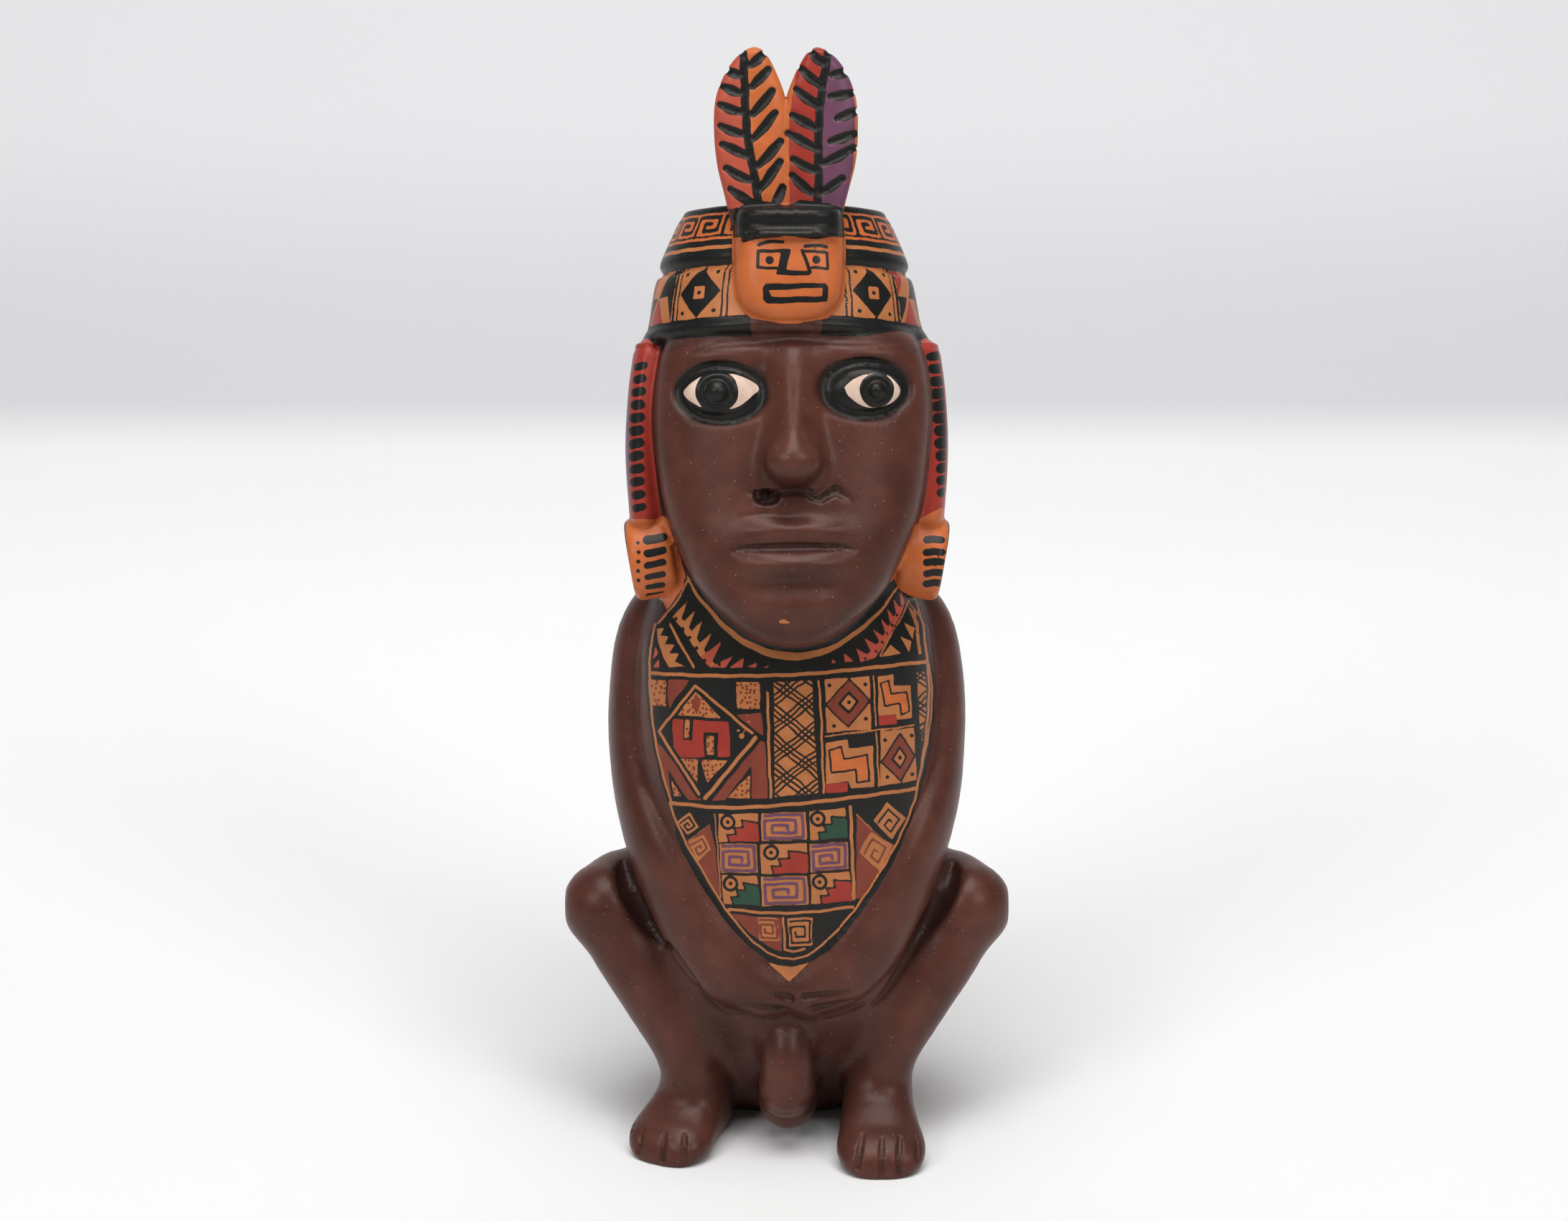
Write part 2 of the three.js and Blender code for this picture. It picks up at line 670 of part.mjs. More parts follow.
function figure() {
  let body = trunk().add(head()).add(legs()).add(arms());
  body = body.add(foot(FEET.left)).add(foot(FEET.right)).add(loins());
  body = body.add(nose()).add(lips());
  for (const [x, z] of [EYE.left, EYE.right]) body = body.subtract(eyeRing(x, z)).add(eyeBall(x, z));
  body = body.subtract(nostril()).subtract(fingerGrooves());
  body = body.add(hat()).add(mask()).add(feathers()).add(ears());
  return aboveGround(body);
}

// The joined solid as a geometry, with points closer than the weld distance made one
function toGeometry(body) {
  const mesh = body.getMesh();
  const joined = new THREE.BufferGeometry();
  joined.setAttribute('position', new THREE.BufferAttribute(new Float32Array(mesh.vertProperties), 3));
  joined.setIndex(new THREE.BufferAttribute(new Uint32Array(mesh.triVerts), 1));
  const geometry = mergeVertices(joined, WELD_DISTANCE);
  const { array } = geometry.index;
  const kept = [];
  for (let k = 0; k < array.length; k += 3) {
    const [a, b, c] = [array[k], array[k + 1], array[k + 2]];
    if (a !== b && b !== c && c !== a) kept.push(a, b, c);
  }
  geometry.setIndex(kept);
  geometry.computeVertexNormals();
  return geometry;
}

const terracotta = new THREE.MeshStandardMaterial({ color: 0x5a342e, roughness: 0.55, metalness: 0 });

const statuette = new THREE.Mesh(toGeometry(figure()), terracotta);
statuette.name = 'statuette';

const model = new THREE.Group();
model.add(statuette);

export default model;
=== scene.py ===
"""A painted terracotta figure, seated with its hands on its belly, on a plain pale floor.

The figure is one moulded piece. Its form is a field of distances in millimetres, built from the
same named sizes as the solid; its skin is where that field is zero. Paint is kept as distances too,
one for each colour, and the material turns them into crisp brush edges.
"""

import logging
import math
from dataclasses import dataclass, field
from enum import Enum
from typing import Callable, Sequence

import bpy
import numpy as np
from mathutils import Matrix, Vector


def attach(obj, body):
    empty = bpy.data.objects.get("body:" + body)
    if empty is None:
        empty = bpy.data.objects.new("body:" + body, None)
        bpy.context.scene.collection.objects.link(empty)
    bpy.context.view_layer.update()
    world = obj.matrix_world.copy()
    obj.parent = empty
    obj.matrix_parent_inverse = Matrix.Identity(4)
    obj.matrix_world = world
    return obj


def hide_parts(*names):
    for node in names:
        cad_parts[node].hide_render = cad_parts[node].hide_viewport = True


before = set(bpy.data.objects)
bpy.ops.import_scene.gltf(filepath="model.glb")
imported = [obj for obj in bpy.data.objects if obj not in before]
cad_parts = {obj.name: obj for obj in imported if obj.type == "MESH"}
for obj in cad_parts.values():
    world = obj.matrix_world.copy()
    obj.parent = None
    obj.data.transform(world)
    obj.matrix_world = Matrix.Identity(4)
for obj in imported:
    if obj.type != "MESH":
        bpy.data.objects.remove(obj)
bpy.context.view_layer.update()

MM = 0.001
FAR = 9.0
MARGIN = 1.2

Array = np.ndarray
Field = Callable[[Array], Array]

log = logging.getLogger("statuette")


class Paint(Enum):
    """The colours of the painter's pots; each value is the colour's place in the paint attributes."""

    OCHRE = 0
    ORANGE = 1
    RED = 2
    MAROON = 3
    PURPLE = 4
    GREEN = 5
    CREAM = 6
    BLACK = 7
    ROSE = 8


class Fine(Enum):
    """Fine patterns laid over a colour; their values follow on from the colours."""

    STIPPLE = 9
    LATTICE = 10


# Sizes of the form, in millimetres

HEAD_LEAN = math.radians(14.0)
NECK = np.array([0.0, -1.0, 114.0])

# Height, half width, front and back
TRUNK_ROWS = (
    (-4, 17.0, 2.0, 22.0),
    (0, 20.0, -1.0, 25.5),
    (5, 24.0, -6.0, 29.5),
    (12, 27.0, -11.5, 32.5),
    (22, 29.2, -17.5, 33.2),
    (34, 30.0, -21.2, 33.4),
    (50, 30.2, -23.2, 32.8),
    (66, 30.6, -23.6, 31.6),
    (82, 31.0, -22.4, 30.2),
    (96, 30.6, -20.4, 28.8),
    (106, 29.2, -18.6, 27.2),
    (114, 25.8, -16.6, 25.2),
    (124, 21.0, -14.0, 23.2),
)
TRUNK_SQUARENESS = 2.35
SKULL_ROWS = (
    (-12, 14.0, -8.0, 17.0),
    (-4, 21.0, -11.0, 21.0),
    (8, 24.6, -12.0, 22.8),
    (24, 26.2, -13.0, 23.4),
    (40, 26.4, -14.0, 23.0),
    (54, 25.4, -14.0, 21.8),
)
FACE_CENTRE = 1.0
FACE_ROWS = (
    (-10.4, 3.0, -24.5, -10.0),
    (-9.2, 7.4, -26.4, -8.0),
    (-6.5, 11.4, -27.8, -6.0),
    (-2.0, 16.0, -28.6, -4.0),
    (3.0, 19.6, -28.2, -2.0),
    (9.0, 22.6, -28.0, 0.0),
    (16.0, 24.9, -26.8, 0.0),
    (25.0, 26.3, -25.8, 0.0),
    (36.0, 26.8, -24.8, 0.0),
    (45.0, 25.7, -23.8, 0.0),
    (49.0, 24.2, -22.6, 0.0),
    (51.5, 22.0, -20.8, 0.0),
)
FACE_SQUARENESS = 2.5

HAT_CENTRE = -0.5
HAT_ARCH = 2.0
HAT_RIM_FRONT = -24.0
HAT_ROWS = (
    (47.6, 24.0, -20.6, 20.0),
    (48.4, 26.6, -23.6, 22.2),
    (49.8, 27.4, -24.5, 23.1),
    (51.2, 26.8, -23.9, 22.6),
    (51.8, 26.9, -23.9, 22.5),
    (56.6, 26.2, -22.8, 21.3),
    (60.8, 25.2, -21.6, 20.2),
    (61.8, 23.9, -20.4, 19.0),
    (63.2, 24.5, -20.9, 19.6),
    (64.4, 24.4, -20.7, 19.3),
    (69.6, 22.2, -18.2, 17.4),
    (73.2, 20.2, -16.2, 15.8),
    (74.6, 18.2, -14.4, 14.2),
    (75.0, 12.0, -9.0, 9.0),
)
HAT_SQUARENESS = 2.2
MASK_CENTRE = 0.4
MASK_SQUARENESS = 3.2
MASK_ROWS = (
    (52.2, 3.6, -24.6, -14.0),
    (53.0, 6.6, -25.8, -14.0),
    (55.0, 9.0, -26.8, -14.0),
    (58.0, 10.2, -27.0, -14.0),
    (64.0, 10.5, -26.4, -12.0),
    (69.0, 10.5, -24.9, -10.0),
    (72.0, 10.2, -21.4, -10.0),
    (74.6, 9.6, -19.6, -10.0),
)
HAIR_ROWS = (
    (67.9, 9.4, -25.0, -14.0),
    (68.4, 10.1, -27.0, -13.0),
    (69.2, 10.3, -26.8, -12.0),
    (69.9, 10.3, -26.0, -12.0),
    (70.8, 10.3, -25.8, -11.0),
    (72.2, 10.2, -26.1, -11.0),
    (73.2, 10.0, -26.1, -12.0),
    (73.9, 9.7, -25.0, -12.0),
    (74.3, 9.0, -21.8, -12.0),
)
FEATHER_SEAM = -0.2
FEATHER_SQUARENESS = 2.6
FEATHER_FRONT = -19.2
FEATHER_THICKNESS = 4.2
# Height, how far the middle stands from the seam, half width
FEATHER_ROWS = (
    (70.0, 5.0, 5.2),
    (76.0, 5.7, 6.0),
    (83.0, 6.5, 6.9),
    (90.0, 6.8, 7.1),
    (95.5, 6.8, 6.7),
    (99.5, 6.8, 5.3),
    (102.4, 6.6, 3.7),
    (104.4, 6.2, 1.9),
    (105.3, 6.0, 0.4),
)
FLAP_PATH = ((27.4, -4.6, 45.4), (28.3, -5.8, 38.0), (28.8, -6.4, 28.0), (28.0, -6.8, 14.5))
FLAP_HALF = (3.0, 6.6)
# The wall between each ear and the face
WALL_PATH = ((22.4, -2.6, 47.0), (23.0, -3.6, 30.0), (22.6, -3.8, 16.0), (20.4, -4.0, 5.0), (18.0, -4.0, -3.0))
WALL_HALF = (5.0, 6.0)
SPOOL_CENTRE = (26.6, -5.6, 6.4)
SPOOL_RADIUS = 8.2
SPOOL_REACH = 4.4
SPOOL_TURN = math.radians(10.0)
SPOOL_DISH = 0.8

EYES = ((-12.6, 38.5), (15.0, 39.3))
EYE_HALF = (7.5, 1.9, 4.4)
EYE_STAND = 0.3
NOSE_CENTRE = 1.2
# Height up the head, rise, half width
NOSE_ROWS = (
    (19.6, 0.0, 8.6),
    (20.8, 0.8, 8.8),
    (22.4, 3.0, 9.0),
    (24.0, 5.0, 9.0),
    (25.8, 6.0, 8.8),
    (28.2, 6.2, 8.2),
    (31.5, 5.5, 7.4),
    (36.0, 4.4, 6.8),
    (41.0, 3.4, 6.6),
    (45.5, 2.3, 7.0),
    (48.5, 1.0, 8.0),
    (50.5, 0.0, 8.8),
)
NOSE_TIP = (1.2, 25.6)
NOSE_TIP_HALF = (5.4, 4.6, 4.2)
NOSE_TIP_STAND = 3.3
MOUTH_CENTRE = 1.4
# Height up the head, half height, half width, rise
LIP_ROWS = ((12.5, 2.0, 12.8, 1.8), (5.7, 2.3, 13.6, 2.1))
NOSTRIL = (-3.9, 18.6, 2.5, 1.6, 2.4)
# Grooves of the face, each row across and up the head, half width, depth
FACE_GROOVES = (
    ((-11.0, 8.1, 0.7, 0.0), (-8.8, 8.8, 1.0, 0.9), (1.4, 9.0, 1.2, 1.3), (11.0, 9.0, 1.0, 0.9), (13.8, 8.6, 0.7, 0.0)),
    ((-8.6, 14.9, 0.8, 0.1), (-4.0, 15.5, 1.0, 0.35), (0.4, 14.6, 0.8, 0.1)),
    ((-8.5, 3.0, 2.6, 0.0), (-3.0, 1.8, 3.4, 0.25), (1.8, 1.5, 3.6, 0.4), (7.0, 1.9, 3.4, 0.25), (12.0, 3.2, 2.6, 0.0)),
    ((-1.5, 19.4, 1.0, 0.7), (1.6, 20.0, 1.3, 1.0), (5.0, 19.2, 1.0, 0.8)),
    ((4.6, 18.6, 0.9, 0.8), (6.6, 18.2, 1.0, 0.9), (9.4, 20.0, 1.4, 1.7), (12.0, 18.2, 0.8, 0.2)),
    ((-7.8, 19.6, 0.8, 0.1), (-6.2, 19.4, 1.0, 0.8), (-4.6, 19.2, 1.0, 0.6)),
    ((-21.0, 46.6, 1.0, 0.1), (-12.0, 48.0, 1.3, 0.5), (1.0, 48.6, 1.3, 0.6), (14.0, 48.4, 1.3, 0.5), (22.0, 48.4, 1.0, 0.1)),
)

# Turn from the front in degrees, height, half width, rise
ARM_ROWS = (
    (95, 109.5, 6.4, 1.8),
    (95, 102.0, 7.8, 4.3),
    (91, 88.0, 8.2, 5.2),
    (84, 76.0, 8.2, 4.9),
    (70, 67.6, 8.0, 4.4),
    (56, 60.2, 7.9, 4.1),
    (43, 53.2, 7.9, 3.9),
    (30, 45.6, 7.6, 4.1),
    (18, 39.4, 7.0, 4.0),
    (6, 35.7, 6.0, 3.4),
)
ARM_HALF_DEPTH = 5.0
# Grooves seen from the front: a window of the view, then rows of a place in it, reach, strength
BODY_GROOVES = (
    (
        (960, 1340, 0.1658),
        (
            ((690, 268, 0.6, 0.6), (760, 280, 0.9, 1.6), (848, 306, 1.1, 2.4)),
            ((430, 352, 0.6, 0.6), (600, 378, 0.9, 1.6), (785, 404, 1.1, 2.4)),
            ((318, 394, 0.6, 0.5), (496, 445, 0.8, 1.1), (661, 470, 1.0, 1.9)),
            ((965, 300, 1.1, 2.4), (1150, 276, 0.9, 1.8), (1345, 254, 0.6, 0.6)),
            ((1050, 390, 1.1, 2.4), (1230, 356, 0.9, 1.8), (1395, 322, 0.6, 0.6)),
            ((1132, 458, 1.1, 2.4), (1290, 422, 0.9, 1.6), (1463, 354, 0.7, 0.8)),
        ),
    ),
    (
        (760, 1140, 0.3316),
        (
            (
                (326, 190, 1.4, 0.8), (334, 232, 2.6, 2.4), (354, 312, 2.9, 3.2), (392, 380, 2.7, 3.0),
                (444, 452, 2.2, 2.2), (500, 518, 1.8, 1.5), (560, 592, 1.5, 1.1), (640, 702, 1.3, 1.0),
                (720, 784, 1.0, 0.8), (780, 822, 0.8, 0.4),
            ),
        ),
    ),
    (
        (1080, 1140, 0.3316),
        (
            (
                (746, 196, 1.4, 0.8), (740, 240, 2.6, 2.4), (717, 310, 2.9, 3.2), (684, 380, 2.7, 3.0),
                (638, 442, 2.2, 2.1), (598, 502, 1.8, 1.5), (562, 572, 1.5, 1.1), (516, 652, 1.3, 1.1),
                (462, 732, 1.1, 0.9), (410, 784, 0.8, 0.5),
            ),
        ),
    ),
    (
        (860, 1440, 0.2934),
        (
            ((84, 376, 0.5, 0.8), (78, 415, 0.7, 1.9), (70, 462, 0.8, 2.2)),
            ((124, 450, 0.5, 0.8), (113, 500, 0.8, 2.0), (98, 562, 0.8, 2.4)),
            ((222, 478, 0.5, 0.8), (218, 535, 0.8, 2.0), (212, 604, 0.8, 2.4)),
            ((318, 474, 0.5, 0.8), (317, 540, 0.8, 2.0), (315, 616, 0.8, 2.4)),
            ((1166, 474, 0.5, 0.8), (1152, 550, 0.8, 2.0), (1138, 640, 0.8, 2.4)),
            ((1256, 496, 0.5, 0.8), (1253, 575, 0.8, 2.0), (1250, 680, 0.8, 2.4)),
            ((1342, 490, 0.5, 0.8), (1337, 570, 0.8, 2.0), (1333, 668, 0.8, 2.4)),
            ((1412, 480, 0.5, 0.8), (1420, 530, 0.7, 1.9), (1424, 592, 0.8, 2.2)),
        ),
    ),
)
# x, y, z, radius
THIGH_PATH = (
    (15.0, 19.0, 31.0, 11.0),
    (24.0, 11.6, 40.4, 10.8),
    (31.4, 3.4, 46.8, 9.8),
    (37.0, -3.6, 47.6, 8.6),
)
SHIN_PATH = (
    (36.0, -3.4, 45.6, 7.8),
    (32.0, -6.4, 39.2, 7.8),
    (26.0, -9.2, 29.4, 7.2),
    (21.0, -11.8, 20.0, 6.2),
    (19.0, -12.4, 12.0, 6.0),
)
# Part of the length, half width as a part, height
FOOT_ROWS = (
    (0.0, 0.3, 5.0),
    (0.06, 0.5, 9.0),
    (0.2, 0.7, 14.4),
    (0.4, 0.8, 15.0),
    (0.6, 0.9, 11.4),
    (0.74, 0.98, 8.6),
    (0.83, 0.94, 7.4),
    (0.89, 0.86, 6.4),
    (0.94, 0.73, 5.2),
    (0.975, 0.56, 3.8),
    (1.0, 0.32, 2.2),
)
FOOT_BELLY = 0.42
MEMBER_PATH = (
    (0.0, -13.4, 28.4, 3.4),
    (0.0, -18.2, 23.4, 4.9),
    (0.1, -19.4, 18.0, 5.4),
    (0.1, -19.6, 13.8, 5.8),
)
SAC_CENTRE = (0.2, -13.4, 9.4)
SAC_HALF = (6.2, 6.8, 6.6)
# Soft spots of painted shade, where shadow falls under the lower lip and low between the legs, seen from the front:
# middle, half sizes, strength
PAINTED_SHADE_SPOTS = (
    (1.6, 5.8, 10.0, 3.6, 0.55),
    (1.3, -84.6, 15.0, 6.5, 0.5),
    (-13.8, -86.0, 9.0, 9.0, 0.65),
    (15.6, -86.0, 8.0, 8.0, 0.55),
    (-12.0, -96.0, 4.6, 7.0, 0.6),
    (8.4, -96.0, 4.2, 7.0, 0.6),
)
# The solid's box, a little inside it
BOX_LOW = np.array([-45.1, -33.3, 0.02])
BOX_HIGH = np.array([45.1, 33.25, 220.3])


def soft_min(a: Array, b: Array, width: float) -> Array:
    """Joins two distances with a rounded inner corner.

    With h = clamp(1/2 + (b - a) / (2 width)), the result is b + (a - b) h - width h (1 - h).
    """
    h = np.clip(0.5 + 0.5 * (b - a) / width, 0.0, 1.0)
    return b + (a - b) * h - width * h * (1.0 - h)


def soft_max(a: Array, b: Array, width: float) -> Array:
    """Meets two distances with a rounded outer corner; the mirror of soft_min."""
    return -soft_min(-a, -b, width)


class Curve:
    """A smooth curve through rows (at, value, ...), as cubic pieces that share their slopes."""

    def __init__(self, rows: Sequence[Sequence[float]]) -> None:
        table = np.asarray(rows, float)
        self.at = table[:, 0]
        self.values = table[:, 1:]
        count = len(table)
        before = np.maximum(np.arange(count) - 1, 0)
        after = np.minimum(np.arange(count) + 1, count - 1)
        rise = self.values[after] - self.values[before]
        self.slopes = rise / (self.at[after] - self.at[before])[:, None]

    def __call__(self, at: Array) -> Array:
        """Values at each place, one column for each of a row's values.

        Between two rows a span s apart, with t from 0 to 1, each value is the Hermite cubic
        a (2t^3 - 3t^2 + 1) + s A (t^3 - 2t^2 + t) + b (3t^2 - 2t^3) + s B (t^3 - t^2).
        """
        at = np.clip(np.asarray(at, float), self.at[0], self.at[-1])
        index = np.clip(np.searchsorted(self.at, at, side="right") - 1, 0, len(self.at) - 2)
        span = (self.at[index + 1] - self.at[index])[:, None]
        t = (at - self.at[index])[:, None] / span
        t2, t3 = t * t, t * t * t
        start = self.values[index] * (2 * t3 - 3 * t2 + 1) + self.slopes[index] * span * (t3 - 2 * t2 + t)
        end = self.values[index + 1] * (3 * t2 - 2 * t3) + self.slopes[index + 1] * span * (t3 - t2)
        return start + end


def to_head(points: Array) -> Array:
    """Turns points of the body's frame into the leaning head's own frame, about the neck."""
    moved = points - NECK
    cos, sin = math.cos(HEAD_LEAN), math.sin(HEAD_LEAN)
    y = (moved[:, 1] * cos) - (moved[:, 2] * sin)
    z = (moved[:, 1] * sin) + (moved[:, 2] * cos)
    return np.column_stack([points[:, 0], y, z])


@dataclass(frozen=True)
class Pod:
    """A closed form of oval sections stacked along its third coordinate."""

    rows: Curve
    centre: float
    squareness: float
    rounding: float = 1.0

    def radius(self, points: Array) -> tuple[Array, Array, Array]:
        """The section's own radius of each point, 1 on the skin, and its slopes across and deep.

        r = (|x / half|^p + |y / depth|^p)^(1/p), whose slope in x is |x / half|^(p-1) r^(1-p) / half.
        """
        half, front, back = self.rows(points[:, 2]).T
        depth = np.maximum((back - front) / 2.0, 0.1)
        u = np.abs(points[:, 0] - self.centre) / np.maximum(half, 0.1)
        v = np.abs(points[:, 1] - (front + back) / 2.0) / depth
        p = self.squareness
        r = np.maximum((u**p + v**p) ** (1.0 / p), 1e-3)
        return r, (u / r) ** (p - 1) / half, (v / r) ** (p - 1) / depth

    def distance(self, points: Array) -> Array:
        """About how far each point lies outside the form, in millimetres."""
        step = 0.1
        up = points + (0.0, 0.0, step)
        down = points - (0.0, 0.0, step)
        r, across, deep = self.radius(points)
        climb = (self.radius(up)[0] - self.radius(down)[0]) / (2 * step)
        side = (r - 1.0) / np.sqrt(across**2 + deep**2 + np.minimum(climb**2, 0.25))
        ends = np.maximum(self.rows.at[0] - points[:, 2], points[:, 2] - self.rows.at[-1])
        return soft_max(side, ends, self.rounding)


@dataclass(frozen=True)
class Sweep:
    """An oval section that follows a line: rows of x, y, z, half width and half depth."""

    points: Array
    width: Array
    depth: Array
    out: Array

    @staticmethod
    def along(rows: Sequence[Sequence[float]], out: Sequence[float] = (0, -1, 0), steps: int = 12) -> "Sweep":
        """A sweep along a smooth curve through a few rows; a row of four values is round."""
        table = np.asarray(rows, float)
        if table.shape[1] == 4:
            table = np.column_stack([table, table[:, 3]])
        curve = Curve(np.column_stack([np.linspace(0, 1, len(table)), table]))
        values = curve(np.linspace(0, 1, steps + 1))
        outs = np.repeat(np.asarray([out], float), steps + 1, axis=0)
        return Sweep.oriented(values[:, :3], values[:, 3], values[:, 4], outs)

    @staticmethod
    def oriented(points: Array, width: Array, depth: Array, out: Array) -> "Sweep":
        """A sweep whose out directions are squared to its line."""
        along = np.gradient(points, axis=0)
        along /= np.linalg.norm(along, axis=1)[:, None]
        out = out - along * np.sum(out * along, axis=1)[:, None]
        out /= np.linalg.norm(out, axis=1)[:, None]
        return Sweep(points, width, depth, out)

    def mirrored(self) -> "Sweep":
        """The same sweep on the other side of the figure."""
        flip = np.array([-1.0, 1.0, 1.0])
        return Sweep(self.points * flip, self.width, self.depth, self.out * flip)

    def distance(self, points: Array) -> Array:
        """About how far each point lies outside; points beyond reach of the sweep are far."""
        reach = FAR + max(self.width.max(), self.depth.max())
        low = self.points.min(axis=0) - reach
        high = self.points.max(axis=0) + reach
        near = np.all((points > low) & (points < high), axis=1)
        result = np.full(len(points), FAR)
        if near.any():
            result[near] = np.minimum(self._near(points[near]), FAR)
        return result

    def _near(self, points: Array) -> Array:
        """The least of the distances to each stretch of the line.

        With n the part of the offset along out and a the rest, r = sqrt(a^2/w^2 + n^2/d^2) and
        the distance is (r - 1) over its slope sqrt(a^2/w^4 + n^2/d^4) / r.
        """
        best = np.full(len(points), np.inf)
        for k in range(len(self.points) - 1):
            start = self.points[k]
            along = self.points[k + 1] - start
            t = np.clip((points - start) @ along / (along @ along), 0.0, 1.0)
            offset = points - start - t[:, None] * along
            out = self.out[k] + t[:, None] * (self.out[k + 1] - self.out[k])
            width = self.width[k] + t * (self.width[k + 1] - self.width[k])
            depth = self.depth[k] + t * (self.depth[k + 1] - self.depth[k])
            n = np.sum(offset * out, axis=1)
            a2 = np.maximum(np.sum(offset * offset, axis=1) - n * n, 0.0)
            r = np.sqrt(a2 / width**2 + n**2 / depth**2) + 1e-6
            slope = np.sqrt(a2 / width**4 + n**2 / depth**4) / r
            best = np.minimum(best, (r - 1.0) / np.maximum(slope, 0.02))
        return best


def ball(points: Array, centre: Sequence[float], half: Sequence[float]) -> Array:
    """About how far each point lies outside an oval ball."""
    offset = points - np.asarray(centre, float)
    half = np.asarray(half, float)
    r = np.sqrt(np.sum((offset / half) ** 2, axis=1)) + 1e-6
    slope = np.sqrt(np.sum((offset / half**2) ** 2, axis=1)) / r
    return (r - 1.0) / slope


def face_depth(x: Array, z: Array) -> Array:
    """How far forward the plain face lies, in the head's frame."""
    half, front, back = Curve(FACE_ROWS)(z).T
    across = np.clip(np.abs(x - FACE_CENTRE) / half, 0.0, 0.98)
    return (front + back) / 2 - (back - front) / 2 * (1 - across**FACE_SQUARENESS) ** (1 / FACE_SQUARENESS)


def trunk_surface(turn: Array, height: Array) -> tuple[Array, Array]:
    """Points of the trunk's skin at turns from the front in degrees, and the ways it faces there."""
    half, front, back = Curve(TRUNK_ROWS)(height).T
    angle = np.radians(turn)
    power = 2.0 / TRUNK_SQUARENESS
    across = np.sin(angle) ** power
    forward = np.sign(np.cos(angle)) * np.abs(np.cos(angle)) ** power
    depth = (back - front) / 2
    points = np.column_stack([half * across, (front + back) / 2 - depth * forward, height])
    facing = np.column_stack(
        [
            across ** (TRUNK_SQUARENESS - 1) / half,
            -np.sign(forward) * np.abs(forward) ** (TRUNK_SQUARENESS - 1) / depth,
            np.zeros(len(points)),
        ]
    )
    return points, facing / np.linalg.norm(facing, axis=1)[:, None]


@dataclass(frozen=True)
class Foot:
    """A foot along its own line, flat below; the grooves that part its toes are carved with the body's other grooves.
    """

    heel: tuple[float, float]
    turn: float
    length: float
    half_width: float

    def local(self, points: Array) -> Array:
        """Points across the foot, up it, and along it from heel to toes as a part of its length."""
        cos, sin = math.cos(math.radians(self.turn)), math.sin(math.radians(self.turn))
        x = points[:, 0] - self.heel[0]
        y = points[:, 1] - self.heel[1]
        return np.column_stack([x * cos + y * sin, points[:, 2], -(y * cos - x * sin)])

    def pod(self) -> Pod:
        """The foot's form, its sections stacked along its length."""
        rows = [
            (at * self.length, wide * self.half_width, (2 * FOOT_BELLY - 1) * high, high)
            for at, wide, high in FOOT_ROWS
        ]
        return Pod(Curve(rows), 0.0, 2.3, 1.2)

    def distance(self, points: Array) -> Array:
        """About how far each point lies outside the foot."""
        return self.pod().distance(self.local(points))


LEFT_FOOT = Foot((-14.6, -1.6), -25.0, 27.6, 9.0)
RIGHT_FOOT = Foot((17.8, -3.0), 3.0, 30.3, 9.2)


